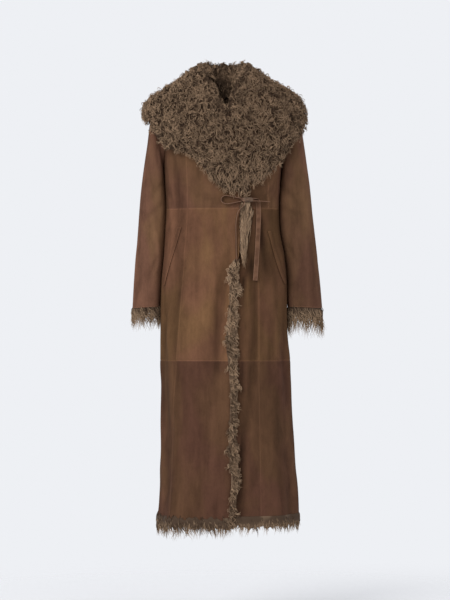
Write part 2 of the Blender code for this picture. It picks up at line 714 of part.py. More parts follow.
def level_normals(line, closed=False):
    """Unit vectors that look out of a line round the body, in the horizontal plane."""
    if closed:
        along = np.roll(line, -1, 0) - np.roll(line, 1, 0)
    else:
        along = np.gradient(line, axis=0)
    across = np.stack([along[:, 1], -along[:, 0], 0 * along[:, 0]], -1)
    return across / np.linalg.norm(across, axis=1)[:, None]


def add_cuff_wool(name, side, table, seed, count=22):
    ring = sleeve_points(side, table)[-1]
    if side > 0:
        ring = ring[::-1]
    rail = even(ring, count, closed=True)
    facing = level_normals(rail, closed=True)
    rail = rail - facing * LOCK_BAND / 2 - np.array([0, 0, 2 * SEAM_GAP])
    growth = CUFF_FLARE * facing + np.array([0, 0, -1])
    return add_locks(name, rail, growth, facing, CUFF_LOCK, seed, closed=True)


def add_hem_wool(name, start, end, lift, count, seed):
    """Wool under a stretch of the hem. lift gives how far the cloth stands proud there, from points' x."""
    bearings = np.linspace(start, end, 60)
    points = body_surface(bearings, HEM_HEIGHT, lift(body_surface(bearings, HEM_HEIGHT)[:, 0]))
    rail = even(points, count)
    facing = level_normals(rail)
    rail = rail - facing * LOCK_BAND / 2 - np.array([0, 0, SEAM_GAP])
    growth = HEM_FLARE * facing + np.array([0, 0, -1])
    return add_locks(name, rail, growth, facing, HEM_LOCK, seed)


def add_edge_wool(name, count, seed):
    """Wool that shows past the right front's open edge, on the same chords as the panels' edges."""
    height = np.concatenate([tier_heights(LOWER), tier_heights(SKIRT)])[::-1]
    bearing = bearing_at(smooth(height, RIGHT_EDGE, "x"), height)
    points = body_surface(bearing, height, EDGE_STAND)
    ahead = body_surface(bearing + 2, height, EDGE_STAND) - points
    rail = even(points, count)
    growth = even(points + ahead, count) - rail
    growth = growth / np.linalg.norm(growth, axis=1)[:, None]
    facing = np.cross(np.gradient(rail, axis=0), growth)
    facing = facing / np.linalg.norm(facing, axis=1)[:, None]
    facing = facing * np.sign(-facing[:, 1:2])
    reach = smooth(rail[:, 2], EDGE_WOOL, "reach")
    rail = rail + growth * 2 * SEAM_GAP + facing * 0.001
    growth = growth - np.array([0, 0, EDGE_DROOP])
    return add_locks(name, rail, growth, facing, reach, seed)


def add_pocket_welt(welt):
    """A narrow suede strip over the slanted pocket mouth."""
    height = welt.top_height + (welt.bottom_height - welt.top_height) * cells(6)
    x = welt.side * (welt.top_x + (welt.bottom_x - welt.top_x) * cells(6))
    turn = math.degrees(WELT_WIDTH / SEAM_RADIUS) * cells(1)[None, :] * welt.side
    points = body_surface(bearing_at(x, height)[:, None] - turn, height[:, None] + 0 * turn, WELT_LIFT)
    if welt.side < 0:
        points = points[:, ::-1]
    return add_wall(welt.name, points, SUEDE_DARK, WELT_THICKNESS, 1)


def add_lace(name, route, steps):
    """A flat suede lace whose middle line is a smooth curve through the route's points."""
    places = np.array([[turn.x, turn.y, turn.height] for turn in route])
    angles = np.radians([turn.flat for turn in route])
    at = np.linspace(0, len(route) - 1, steps)
    i = np.clip(at.astype(int), 0, len(route) - 2)
    t = (at - i)[:, None]
    before, after = 2 * places[:1] - places[1:2], 2 * places[-1:] - places[-2:-1]
    a, b, c, d = (np.concatenate([before, places, after])[i + k] for k in range(4))
    line = 0.5 * (2 * b + (c - a) * t + (2 * a - 5 * b + 4 * c - d) * t**2 + (3 * b - a - 3 * c + d) * t**3)
    flat = np.interp(at, np.arange(len(route)), angles)
    across = np.stack([np.cos(flat), -np.sin(flat), 0 * flat], -1)
    along = np.gradient(line, axis=0)
    along = along / np.linalg.norm(along, axis=1)[:, None]
    across = across - along * (across * along).sum(1)[:, None]
    across = across / np.linalg.norm(across, axis=1)[:, None]
    half = across * LACE_WIDTH / 2
    return add_wall(name, np.stack([line - half, line, line + half], 1), SUEDE, LACE_THICKNESS, 0)


def add_knot(name, centre, size):
    """The knot's flat wrap, a block with rounded edges."""
    bm = bmesh.new()
    bmesh.ops.create_cube(bm, size=1)
    bmesh.ops.scale(bm, vec=size, verts=bm.verts)
    bmesh.ops.bevel(bm, geom=bm.edges[:], offset=KNOT_ROUND, segments=2, profile=0.5, affect="EDGES")
    bmesh.ops.translate(bm, vec=centre, verts=bm.verts)
    return add_object(name, bm, SUEDE)


# --- The coat -------------------------------------------------------------------------------------------
def add_body():
    add_front_panel("right_front_bodice", BODICE, RIGHT_PRINCESS, RIGHT_EDGE, SUEDE, 6)
    add_front_panel("right_side_bodice", BODICE, -90, RIGHT_PRINCESS, SUEDE, 3)
    add_front_panel("left_front_bodice", BODICE, LEFT_EDGE, LEFT_PRINCESS_BODICE, SUEDE, 7)
    add_front_panel("left_side_bodice", BODICE, LEFT_PRINCESS_BODICE, 90, SUEDE, 3)
    add_back_panel("back_bodice", BODICE, SUEDE)
    for label, tier, finish in (("skirt", SKIRT, SUEDE), ("lower", LOWER, SUEDE_DARK)):
        add_front_panel(f"right_front_{label}", tier, RIGHT_PRINCESS, RIGHT_EDGE, finish, 7)
        add_front_panel(f"right_side_{label}", tier, -90, RIGHT_PRINCESS, finish, 4)
        add_front_panel(f"left_front_{label}", tier, LEFT_EDGE, LEFT_PRINCESS_SKIRT, finish, 7)
        add_front_panel(f"left_side_{label}", tier, LEFT_PRINCESS_SKIRT, 90, finish, 5)
        add_back_panel(f"back_{label}", tier, finish)


def add_sleeves():
    add_sleeve("right_sleeve", -1, RIGHT_SLEEVE)
    add_sleeve("left_sleeve", 1, LEFT_SLEEVE)
    add_cuff_wool("right_cuff_wool", -1, RIGHT_SLEEVE, seed=3)
    add_cuff_wool("left_cuff_wool", 1, LEFT_SLEEVE, seed=4)


def add_collar():
    add_collar_half("collar_right", -180 + COLLAR_SEAM, 32, 27, RIGHT_ROLL, RIGHT_RIM, seed=1)
    add_collar_half("collar_left", 7, 180 - COLLAR_SEAM, 22, LEFT_ROLL, LEFT_RIM, seed=2)
    add_collar_stand()


def add_trim():
    edge = RIGHT_EDGE[0].x
    edge_bearing = float(bearing_at(edge, HEM_HEIGHT))
    side = 90 - math.degrees(2 * SEAM_GAP / SEAM_RADIUS)
    add_hem_wool("right_hem_wool", -side, edge_bearing, lambda x: front_lift(x, edge, True), 17, 5)
    add_hem_wool("back_hem_wool", 180 - side, 180 + side, lambda x: 0 * x, 27, 6)
    add_hem_wool("left_hem_wool", LEFT_HEM_START, side, lambda x: front_lift(x, edge, False), 13, 7)
    add_edge_wool("front_edge_wool", 36, 8)
    for welt in WELTS:
        add_pocket_welt(welt)


def add_tie():
    add_knot("tie_knot", KNOT_CENTRE, KNOT_SIZE)
    for name, route, steps in TIE_LACES:
        add_lace(name, route, steps)


clear_scene()
coat = new_collection("Shearling coat")
add_body()
add_sleeves()
add_collar()
add_trim()
add_tie()
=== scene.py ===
"""Looks of the long shearling wrap coat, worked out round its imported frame.

The suede panels and sleeves are thin shells of cloth with their seams and creases. The wool of the collar,
cuffs, hem and front edge is made of curling locks, and the waist lace is a flat cord with its knot.

Metres, +Z up. The front faces -Y and the wearer's left side is +X. A place on the coat is given by a bearing
and a height: the bearing is in degrees round the body, 0 at the centre front and +90 at the left side.
"""

import json
import math
from collections import namedtuple

import bpy
import numpy as np
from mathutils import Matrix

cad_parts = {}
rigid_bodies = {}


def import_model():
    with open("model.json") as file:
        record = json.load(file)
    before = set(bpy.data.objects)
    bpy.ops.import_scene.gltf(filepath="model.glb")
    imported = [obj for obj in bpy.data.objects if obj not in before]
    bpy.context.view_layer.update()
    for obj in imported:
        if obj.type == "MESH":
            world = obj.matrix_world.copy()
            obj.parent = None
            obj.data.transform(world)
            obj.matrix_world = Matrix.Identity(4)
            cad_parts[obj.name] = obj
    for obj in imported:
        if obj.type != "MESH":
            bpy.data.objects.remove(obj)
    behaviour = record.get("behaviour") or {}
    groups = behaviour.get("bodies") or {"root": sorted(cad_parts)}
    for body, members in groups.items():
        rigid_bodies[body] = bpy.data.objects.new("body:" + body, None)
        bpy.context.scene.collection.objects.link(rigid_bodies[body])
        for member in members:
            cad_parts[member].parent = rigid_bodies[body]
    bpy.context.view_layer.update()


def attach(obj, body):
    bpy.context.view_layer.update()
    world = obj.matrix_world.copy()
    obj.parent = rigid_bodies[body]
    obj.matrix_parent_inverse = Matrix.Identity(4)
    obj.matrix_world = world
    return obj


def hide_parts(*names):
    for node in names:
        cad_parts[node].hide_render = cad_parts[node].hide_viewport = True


bl_info = {
    "name": "Shearling Wrap Coat",
    "version": (1, 0, 0),
    "blender": (4, 5, 0),
    "location": "3D Viewport > Sidebar > Coat",
    "description": "Makes the cloth, wool and lace of a long shearling wrap coat round its frame",
    "category": "Add Mesh",
}

for leftover in list(bpy.data.objects):
    bpy.data.objects.remove(leftover, do_unlink=True)
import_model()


def rows_of(fields, *rows):
    """Rows with those fields. Their lengths are given in millimetres and kept in metres."""
    row_of = namedtuple("Row", fields)
    as_given = ("name", "side", "bearing", "end_bearing", "half_angle", "drift", "flat")

    def metres(field, value):
        return value if field in as_given else round(value / 1000, 7)

    return [row_of(*map(metres, row_of._fields, row)) for row in rows]


# --- Form of the coat, as the frame has it ---
SKIN_WALL = 0.004  # suede with the clipped wool behind it
COLLAR_WALL = 0.003
WELT_WALL = 0.0022
SEAM_GAP = 0.0001  # between neighbouring pieces
SEAM_RADIUS = 0.15  # turns a width into degrees round the body
SEAM_TURN = math.degrees(SEAM_GAP / 2 / SEAM_RADIUS)
SECTION_POWER = 2.3  # 2 is an ellipse, more is squarer

NECK_POINT_HEIGHT = 0.0
SHOULDER_DROP = 0.05  # from the neck point to the sleeve head
SHOULDER_CURVE = 1.5  # more than 1 sinks the shoulder line later
SHOULDER_ROUNDING = 2.4  # how late the front and back close over the shoulder
UNDERARM_HEIGHT = -0.255
WAIST_HEIGHT = -0.374
KNEE_HEIGHT = -0.825
HEM_HEIGHT = -1.3
BACK_NECK_DIP = 0.03
BACK_NECK_SHARE = 0.36  # of the back's top edge, on either side of its middle
ARMHOLE_BITE = 23.0  # degrees that the armhole cuts into the front and the back
ARMHOLE_MARGIN = 0.02  # degrees from the armhole's line to the panels' cut edge
SLEEVE_HEAD_OUT = 0.0002  # the sleeve head stands this far outside the armhole
SLEEVE_BLEND = (0, 0.06, 0.2, 0.45, 0.72)  # shares of the way from the armhole to the sleeve's first ring
SLEEVE_PUFF = 0.006  # the sleeve head bulges this far on the way

UNDERLAP = 0.0075  # the left front lies this far inside the right front's face
EDGE_STAND = 0.004  # the right front's open edge stands this far proud
EDGE_RISE = 0.045  # it rises over this width
UNDERLAP_RISE = (0.012, 0.05)  # and comes up to the face between these distances past the edge

COLLAR_SEAM = 0.3  # degrees from the centre back to each half of the collar
COLLAR_CELL, COLLAR_ROWS = 2.2, 26  # degrees to a column of the collar's grid, and its rows
STAND_INSET = 0.0015  # from the collar's roll to the stand's top
STAND_RADIUS = 0.07  # up to its ledge, the stand is no farther from the neck's centre
STAND_LEDGE = 0.88  # from this share of its height the stand leans out to the collar's roll
STAND_END = 38.0  # the stand runs round the back of the neck between these bearings

WELT_WIDTH = 0.013
WELT_GIRTH = 0.024  # its section has the grid lines of cloth of this width
WELT_RISE = (0.0008, 0.0017)  # a welt stands this far off the cloth, and its lip this much farther
LACE_WIDTH = 0.013
LACE_THICKNESS = 0.002
LACE_STEP, LACE_SIDES = 0.0022, 12  # along the lace and round it
LACE_CURL = 0.1  # its edges curl by this share of its width, to one side and the other
KNOT_CENTRE = (0.067, -0.1165, -0.349)
KNOT_SIZE = (0.034, 0.014, 0.014)
KNOT_GRID, KNOT_POWER = (26, 48), 0.55

Tier = namedtuple("Tier", "low high")
BODICE = Tier(WAIST_HEIGHT, NECK_POINT_HEIGHT)
SKIRT = Tier(KNEE_HEIGHT, WAIST_HEIGHT)
LOWER = Tier(HEM_HEIGHT, KNEE_HEIGHT)

BODY = rows_of(
    "height right_half left_half front_depth back_depth",
    (-1300, 201, 217, 150, 152), (-1245, 193, 215, 147, 148), (-1170, 188, 210, 143, 143),
    (-1065, 188, 202, 138, 138), (-945, 190, 197, 133, 134), (-825, 193, 192, 128, 132),
    (-705, 194, 187, 124, 131), (-585, 190, 185, 121, 129), (-510, 183, 178, 117, 121),
    (-432, 179, 164, 110, 106), (-374, 176, 162, 106, 99), (-285, 181, 167, 118, 104),
    (-255, 183, 170, 120, 106), (-120, 186, 180, 120, 108), (0, 190, 190, 120, 108),
)

# Soft folds that widen towards the hem: a positive depth is a ridge.
FOLDS = rows_of(
    "bearing depth half_angle top drift",
    (-62, -6, 8, -400, -4), (-44, 7, 9, -420, -3), (-20, -7, 8, -460, 1), (-3, 5, 8, -500, 0),
    (40, 6, 9, -450, 3), (58, -7, 8, -420, 4), (78, 5, 8, -600, 2), (-84, 5, 8, -700, -2),
    (112, -8, 10, -450, 4), (134, 10, 11, -420, 2), (158, -10, 10, -440, 2), (180, 9, 10, -460, 0),
    (-160, -9, 10, -420, -2), (-136, 10, 11, -400, -3), (-113, -7, 10, -460, -4),
)
FOLD_RUN = 0.45  # a fold reaches its full depth this far below its top

# Front edges and panel seams, as distances from the centre front.
LINE = "height x"
RIGHT_EDGE = rows_of(
    LINE, (-1300, 18), (-900, 16), (-800, 10), (-620, 14), (-500, 41), (-374, 45), (-300, 48), (-260, 42),
    (-210, 30), (-160, 16), (-86, -4), (-60, -20), (-35, -36), (-10, -52), (0, -62),
)
LEFT_EDGE = rows_of(
    LINE, (-1300, -80), (-374, -80), (-300, -55), (-210, -31), (-160, -18), (-100, 5), (-60, 22), (-35, 36),
    (-10, 52), (0, 62),
)
RIGHT_PRINCESS = rows_of(
    LINE, (-1300, -162), (-825, -142), (-600, -127), (-374, -112), (-276, -114), (-100, -118), (0, -122),
)
LEFT_PRINCESS_SKIRT = rows_of(LINE, (-1300, 106), (-825, 100), (-600, 100), (-374, 108))
LEFT_PRINCESS_BODICE = rows_of(LINE, (-374, 128), (-276, 127), (-100, 124), (0, 122))

# A sleeve ring hangs between a point on the arm's outer line and one on its inner line.
SLEEVE_RING = "outer_x outer_height inner_x inner_height half_depth middle_y"
RIGHT_SLEEVE = rows_of(
    SLEEVE_RING, (210, -63, 193.5, -259, 46, 3), (223, -102, 186.8, -277, 57, 6),
    (233.5, -180, 182, -302, 61, 12), (245.5, -262, 179.2, -340, 61, 18),
    (258.5, -393, 178.2, -418, 58, 26), (267.5, -510, 185, -518, 53, 28), (273.5, -590, 191, -592, 49, 26),
    (278.5, -669, 196.5, -665, 47, 22),
)
LEFT_SLEEVE = rows_of(
    SLEEVE_RING, (210, -63, 180.5, -259, 46, 3), (224, -102, 173, -277, 57, 6),
    (237.5, -180, 168, -302, 62, 12), (249, -262, 165.6, -340, 62, 18), (264, -393, 164.7, -418, 60, 26),
    (277.5, -510, 180.5, -518, 55, 28), (286, -590, 187, -592, 51, 26), (292.5, -669, 192, -665, 49, 22),
)

# The skin side of the turned-down collar is a dome from the neck out over the sleeve heads.
COLLAR_DOME = rows_of(
    "height right left front back",
    (-345, 246, 246, 113, 124), (-300, 246, 246, 122, 128), (-250, 246, 246, 128, 132),
    (-200, 246, 246, 127, 133), (-160, 245, 245, 123, 133), (-100, 240, 236, 111, 128),
    (-70, 234, 229, 102, 122), (-41, 209, 210, 92, 115), (-25, 184, 186, 87, 110), (-6, 152, 151, 80, 104),
    (12, 128, 122, 74, 98), (31, 104, 96, 70, 91), (50, 80, 70, 66, 81), (66, 63, 55, 62, 72),
)

# Where the collar rolls over and where its outer edge lies, by true bearing seen from above.
ROLL = "bearing height"
RIGHT_ROLL = rows_of(
    ROLL, (-180, 65), (-135, 65), (-90, 62), (-65, 50), (-45, 28), (-30, 4), (-15, -36), (-5, -64),
    (3, -84), (13, -160), (19, -210), (24, -255), (29, -295), (32, -316),
)
RIGHT_RIM = rows_of(
    ROLL, (-180, -190), (-160, -182), (-135, -152), (-110, -112), (-90, -94), (-77, -116), (-69, -160),
    (-63, -188), (-55, -203), (-43, -214), (-33, -236), (-24, -266), (-14, -296), (0, -315), (20, -325),
    (32, -328),
)
LEFT_ROLL = rows_of(ROLL, (7, -68), (15, -34), (28, 10), (45, 31), (65, 50), (90, 62), (135, 65), (180, 65))
LEFT_RIM = rows_of(
    ROLL, (7, -100), (14, -155), (19, -204), (24, -249), (29, -288), (34, -300), (37, -298), (46, -280),
    (53, -255), (59, -226), (64, -198), (70, -172), (77, -148), (83, -120), (90, -100), (110, -112),
    (135, -152), (160, -182), (180, -190),
)
STAND_FOOT = rows_of(
    "bearing height radius",
    (38, -20, 66), (60, -15, 62.5), (75, -11, 61.2), (90, -9.5, 61.2), (105, -13, 60), (120, -18, 59),
    (135, -24, 60.5), (150, -28, 64), (165, -29.2, 67), (180, -30, 67.2),
)

# Left and right limits of the wool on the right front's open edge, and of the long wool below the knot.
BAND = "height left right"
EDGE_BAND = rows_of(
    BAND, (-1300, 11, 33), (-1279, 10.5, 33.5), (-1175, 14.8, 46), (-1072, 5.4, 41.4), (-1028, 8.9, 37),
    (-925, 11.8, 43.5), (-866, 8.9, 43.5), (-822, 4.4, 42.5), (-763, 1, 42.5), (-704, 3.5, 42.5),
    (-645, 8.9, 42), (-586, 10.3, 48), (-542, 12, 46.5), (-524, 30, 50),
)
TONGUE = rows_of(BAND, (-500, 42, 55), (-446, 42, 62), (-384, 42, 82), (-356, 44, 78))
TONGUE_TIP = (0.0565, -0.545)
BAND_ROWS = 8
BAND_SEAT = 0.001  # past the leather, the roots of both stand this far outside the left front
BAND_STEP = (-0.002, 0.012)  # the roots step down from the leather between these distances past its edge

# The pocket mouths' lines, as distances from the centre front.
WELTS = rows_of(
    "name side top_x top_height bottom_x bottom_height",
    ("right_pocket_welt", -1, 139, -429, 184, -600), ("left_pocket_welt", 1, 134, -441, 180, -597),
)

# The waist lace. flat is the bearing of the lace's flat direction from +X towards the front, in degrees.
TURN = "x y height flat"
RIGHT_LEAD = rows_of(TURN, (46, -116.8, -349, 80), (49.6, -116.8, -349, 80))
LEFT_LEAD = rows_of(
    TURN, (129.6, -81.7, -354.5, 54), (111, -102, -353.7, 66), (93, -114, -353, 80),
    (84.6, -115, -352.8, 85),
)
BOW_LOOP = rows_of(
    TURN, (49.2, -117, -345, 80), (33, -118.7, -342.5, 80), (12, -118.1, -338, 85), (-2, -117, -337.5, 88),
    (-10, -116, -344, 92), (-10, -116, -353, 95), (-2, -116, -359.5, 90), (20, -116.5, -358.5, 85),
    (49.6, -117, -353, 80),
)
RIGHT_TAIL = rows_of(
    TURN, (56, -118, -357, 75), (53.5, -119.5, -365, 78), (37.5, -122, -385, 80), (32.5, -120.5, -408, 82),
    (32, -124, -470, 82), (34.5, -129, -531, 82),
)
LEFT_TAIL = rows_of(
    TURN, (84.6, -113, -346, 75), (89, -111, -346.2, 60), (94, -102, -348, 30), (97.2, -95.2, -354, 6),
    (98.5, -94.8, -364, 4), (99.5, -95, -390, 2), (97.5, -101, -450, 0), (93, -112, -531, 0),
    (89, -116, -588, 0),
)

# --- Finer form than the frame's ---
CELL = 0.0098  # side of a cell in the cloth's grids
SEAM_LINES = (0.0, 0.001, 0.0024, 0.005, 0.009)  # from a seam to a grid's lines beside it
SEAM_DIP = 0.0005  # the cloth rolls in this far at a seam
SEAM_SOFT = 0.0024  # over about this width
ARMHOLE_SEAM_LOW = -0.4  # only a sleeve's end above this height has a seam
CREASE_RADIUS = 0.175  # turns degrees round the body into metres
CREASE_BEND = 0.05  # a crease's line bends to one side by this share of its length
SLEEVE_RADIUS = 0.05
SLEEVE_POWER = 2.5  # of the sleeves' section, as SECTION_POWER
SLEEVE_COLUMNS = 72
SLEEVE_REST = 0.0002  # from the hanging sleeve's inner line to the body
SLEEVE_LEAVES = (-0.76, -0.6)  # the sleeve comes away from the body between these heights
SLEEVE_STARTS = (0.01, 0.05)  # a sleeve's creases begin between these distances from the armhole
SLEEVE_CALM = (8, 40)  # and between these degrees from its inner line
SHOULDER_CALM = (0.01, 0.09)  # the body's creases and dents begin this far below the neck point
CALM = (64.0, 80.0)  # the body has none beside the sleeves, at bearings past these
CALM_LOW = 0.08  # down to this far below the cuffs
DENT = 0.0011  # depth of the shallow dents all over the cloth
LIP_ROLL = 0.0045  # the right front's open edge rolls out this far
LIP_WIDTH = 0.016
LIP_STARTS = (0.02, 0.16)  # its roll begins between these depths below the waist seam
LIP_FLATTENS = (-0.05, 0.1)  # and shrinks between these depths below the knee seam
LIP_SHRINKS = 0.6

# A crease is a soft trough, or a ridge where its depth is positive, along a line between two places.
CREASE = "bearing height end_bearing end_height depth half_width"
CREASES = rows_of(
    CREASE, (-38, -520, -41, -960, -6.5, 12), (-6, -500, -3.5, -860, -13, 12),
    (-15, -480, -17, -740, 4.2, 18), (-27, -560, -30, -900, 3, 20), (-54, -440, -58, -810, 3.5, 16),
    (-66, -600, -70, -1150, -4.5, 14), (14.5, -500, 13.5, -1290, -10, 9), (38, -385, 37, -620, -9, 13),
    (-66, -300, -58, -450, 4.5, 10), (-48, -930, -52, -1290, -3, 15), (-30, -980, -33, -1290, 2, 18),
    (-19, -850, -20, -1290, 4.5, 22), (-75, -900, -78, -1290, 5, 16), (24, -440, 27, -1180, 4, 17),
    (43, -420, 47, -1220, -4.5, 15), (38, -820, 41, -1290, -3, 22), (61, -840, 63, -1295, 4.5, 24),
    (54, -560, 56, -900, 3.5, 15), (72, -520, 76, -1000, -4, 15), (83, -860, 86, -1290, 2.5, 16),
    (12, -390, -24, -455, -2.2, 8), (8, -405, -10, -510, -2.6, 9), (30, -385, 50, -440, -2.2, 8),
    (27, -390, 33, -480, 2.4, 9), (2, -352, -30, -330, -2, 8), (40, -345, 66, -290, -2.4, 9),
    (44, -330, 60, -230, 2.4, 10), (-30, -350, -64, -285, 2.2, 10), (-54, -232, -50, -409, -6.2, 8),
    (-64, -195, -56, -392, 3.6, 8), (-70, -300, -52, -365, -2.4, 9), (70, -300, 54, -366, -2.4, 9),
    (-62, -385, -44, -420, -2, 8), (108, -430, 112, -900, -5, 16), (124, -480, 127, -1250, 4.5, 18),
    (146, -450, 149, -1100, -5, 16), (166, -520, 167, -1280, 4, 18), (178, -900, 176, -1290, -3.5, 15),
    (-170, -440, -171, -1000, 3.8, 17), (-150, -500, -147, -1260, -5, 16),
    (-124, -430, -127, -1150, 4.5, 18), (-104, -560, -101, -1280, -4.5, 15),
    (150, -345, 120, -290, -2.4, 10), (-152, -350, -124, -280, -2.4, 10), (172, -250, 168, -365, 2.2, 14),
    (136, -385, 116, -430, -2.2, 9), (-138, -380, -112, -425, -2.2, 9),
)

# The same on a sleeve, by its turn in degrees: 0 is its outer line, 90 the front and 180 the inner line.
RIGHT_SLEEVE_CREASES = rows_of(
    CREASE, (150, -290, 62, -352, -2.7, 10), (140, -345, 50, -415, -2.3, 10), (120, -260, 84, -150, -3, 11),
    (96, -380, 120, -560, 3.6, 11), (70, -440, 52, -640, -3, 11), (40, -180, 30, -420, 2.4, 13),
    (118, -500, 88, -600, -3, 8), (20, -480, 12, -650, 2, 11), (-130, -300, -60, -370, -3.8, 9),
    (-120, -380, -50, -430, -3, 9), (-90, -430, -110, -620, 3.4, 12), (-60, -150, -80, -300, -2.8, 11),
)
LEFT_SLEEVE_CREASES = rows_of(
    CREASE, (152, -300, 66, -370, -2.8, 10), (146, -360, 56, -405, -2.2, 9), (110, -230, 78, -130, -3, 11),
    (92, -400, 108, -600, 3.8, 11), (64, -420, 44, -610, -3.4, 11), (36, -200, 26, -380, 2.4, 13),
    (128, -470, 96, -540, -3, 8), (14, -520, 20, -660, -2.2, 10), (-140, -280, -66, -350, -3.8, 9),
    (-116, -400, -54, -450, -3, 9), (-84, -450, -104, -640, 3.4, 12), (-54, -160, -74, -310, -2.8, 11),
)

# --- Wear and shade of the suede ---
# Shares by which the cloth is lighter or darker. Each fades in from the first of its heights to the second.
# Ridges are rubbed paler, and troughs are darkened as painted shade, at the same rate:
WEAR_SHADE_DEPTH = 0.018  # a fold of this depth would be rubbed to twice the lightness
WEAR_SHADE_MOST = 0.34
FOLD_WEAR_SHADE = 0.15  # how much the large folds are rubbed, beside the creases
LIP_WEAR = 0.22  # lighter along the right front's open edge
LIP_WEAR_LOW = 0.2  # its share below the knee seam
LIP_WEAR_HEIGHTS = (-0.88, -0.8)
HIP_LIGHTER = 0.28  # lighter on the right side's skirt
HIP_LIGHTER_HEIGHTS = (-0.68, -0.5)
# Painted shade in the groove of the right front, beside its edge:
GROOVE_SHADE = 0.38  # darker in the groove of the right front, beside its edge
GROOVE_X, GROOVE_WIDE = -0.0207, 0.011
GROOVE_TOP, GROOVE_LOW = (-0.64, -0.73), (-0.88, -0.84)
# Painted shadow on the left front beside the edge's wool:
UNDER_WOOL_SHADOW = 0.68  # darker on the left front beside the edge's wool, this far from the edge
UNDER_WOOL_OFF, UNDER_WOOL_WIDE = 0.036, 0.007
UNDER_WOOL_LOW = 0.45  # its share on the lower tier
UNDER_WOOL_HEIGHTS = (-1.0, -0.9)
UNDER_WOOL_TOP = (-0.52, -0.6)
# Painted shadow on the left skirt below the tie, and more beside the long wool:
UNDER_TIE_SHADOW = 0.16  # darker on the left skirt below the tie, and less so towards the side
UNDER_TIE_HEIGHTS = (-0.64, -0.53)
UNDER_TIE_SIDE, UNDER_TIE_SIDE_LOSS = (0.135, 0.175), 0.6
BESIDE_TONGUE_SHADOW = 0.3  # and more beside the long wool
BESIDE_TONGUE_X, BESIDE_TONGUE_WIDE = 0.074, 0.012
BESIDE_TONGUE_HEIGHTS = (-0.6, -0.54)
SLEEVE_PATCHES = (0.0, 0.0, -0.17)  # moves the patches on the sleeves
SLEEVE_FADE = 0.2  # the right sleeve is lighter towards the cuff by this share, the left one darker
# Painted light against the shade of the sleeves' round form:
SLEEVE_SIDE_LIGHT = (0.12, 0.4)  # the right and left sleeve's outer and inner line are lighter near the cuff
SLEEVE_SHADE_HEIGHTS = (-0.2, -0.6)
# Painted highlight on the right welt and its lip; painted shade on the left one, its mouth and its inner
# side.
RIGHT_WELT, RIGHT_LIP_HIGHLIGHT = 0.14, 0.36  # the right welt, and its lip towards the lower end
LEFT_WELT, LEFT_MOUTH_SHADOW, LEFT_INNER_SHADE = -0.14, -0.46, -0.32  # the left welt, its lip and its inner side
STITCH_OFF = 0.0042  # from a seam to the row of stitches beside it
STITCH_LENGTH = 0.0046
# How much lighter each skin is than its tier's colour: partly the skins' own tone, and partly painted shade
# on the wearer's left, away from the light, most of all on the left sleeve.
PANEL_TONES = dict(
    right_side_bodice=-0.1, right_front_bodice=-0.04, left_front_bodice=-0.16, back_bodice=0.03,
    right_side_skirt=-0.18, right_front_skirt=0.07, left_front_skirt=-0.2, left_side_skirt=-0.2,
    right_side_lower=0.04, right_front_lower=-0.04, left_front_lower=-0.04, left_side_lower=0.03,
    back_skirt=-0.03, left_sleeve=-0.32,
)

# --- Wool ---
STRAND_STEPS = 10  # points along a strand's middle line
STRAND_SIDES = 3
CLUMP_STRANDS = 4
# Limits of a strand's factors of its clump's length, lift and curl.
STRAND_LENGTHS, STRAND_LIFTS, STRAND_CURLS = (0.75, 1.1), (0.5, 1.15), (0.7, 1.2)
STRAND_TINTS = 0.16  # how much the strands of a clump differ
STRAND_WINDS = 0.45  # in how far round their curl they start, in radians
STRAND_BENDS = 0.35  # and in their way, as a share of the growth's stray
STRAND_HUGS = 0.6  # this share of a flow into or out of the ground is taken away
FLYAWAY_LIFT = 1.6  # one strand of each clump stands higher
FLYAWAY_THICKNESS = 0.6
SWIRL = 0.95  # how far the flow of the collar's wool turns aside, in radians
# Number of clumps, then a strand's length, height, curl's radius, turns and own radius, a clump's size, and
# how much the strands stray from the flow, in radians. 0 clumps: their number is given where they grow.
Growth = namedtuple("Growth", "clumps length lift curl turns radius clump stray")
COLLAR_WOOL = Growth(0, (0.016, 0.03), (0.003, 0.009), (0.0024, 0.0042), (1.0, 1.6), 0.00115, 0.0084, 0.95)
ROLL_WOOL = Growth(0, (0.01, 0.019), (0.002, 0.006), (0.0018, 0.0032), (0.8, 1.3), 0.001, 0.0046, 1.25)
NECK_WOOL = Growth(0, (0.016, 0.028), (0.003, 0.007), (0.002, 0.0034), (0.9, 1.4), 0.0012, 0.0058, 0.7)
CUFF_WOOL = Growth(162, (0.04, 0.07), (0.0, 0.004), (0.002, 0.0042), (0.9, 1.6), 0.001, 0.0056, 0.22)
HEM_WOOL = Growth(0, (0.026, 0.052), (0.001, 0.004), (0.0016, 0.0034), (0.8, 1.5), 0.001, 0.0056, 0.24)
EDGE_WOOL = Growth(380, (0.018, 0.032), (0.002, 0.008), (0.0026, 0.0044), (1.1, 1.7), 0.0011, 0.004, 0.45)
TONGUE_WOOL = Growth(110, (0.05, 0.08), (0.002, 0.006), (0.0005, 0.0012), (0.5, 1.0), 0.001, 0.0042, 0.06)
SPREAD_STEPS = (0.7548777, 0.5698403)  # steps of the sequence that spreads the clumps evenly
SPREAD_JITTER = 0.004
CLUMP_TINTS = (0.15, 0.85)
DEEP_ROOT, DEEP_TIP = 0.6, 0.76  # colours of the hem's and the cuffs' wool, of the edge's wool
BASE_ALONG, BASE_TINT = (0, 0.45), 0.25  # the dense wool under the locks has the look of this part of a lock

COLLAR_CLUMP_AREA = 0.000108  # square metres of collar to a clump, where it shows most
COLLAR_ROOTS = 0.0025  # the collar's strands start this far outside its skin
BACK_SPARSE = 0.53  # the back has fewer clumps by this share, with strands as much thicker
BACK_STARTS = (0.0, 0.05)  # how far behind the neck point that begins
FOLD_X, FOLD_WIDE = -0.004, 0.011  # the fold at the throat, where both halves of the collar meet
FOLD_HEIGHT, FOLD_REACH = -0.073, (-0.035, -0.01)
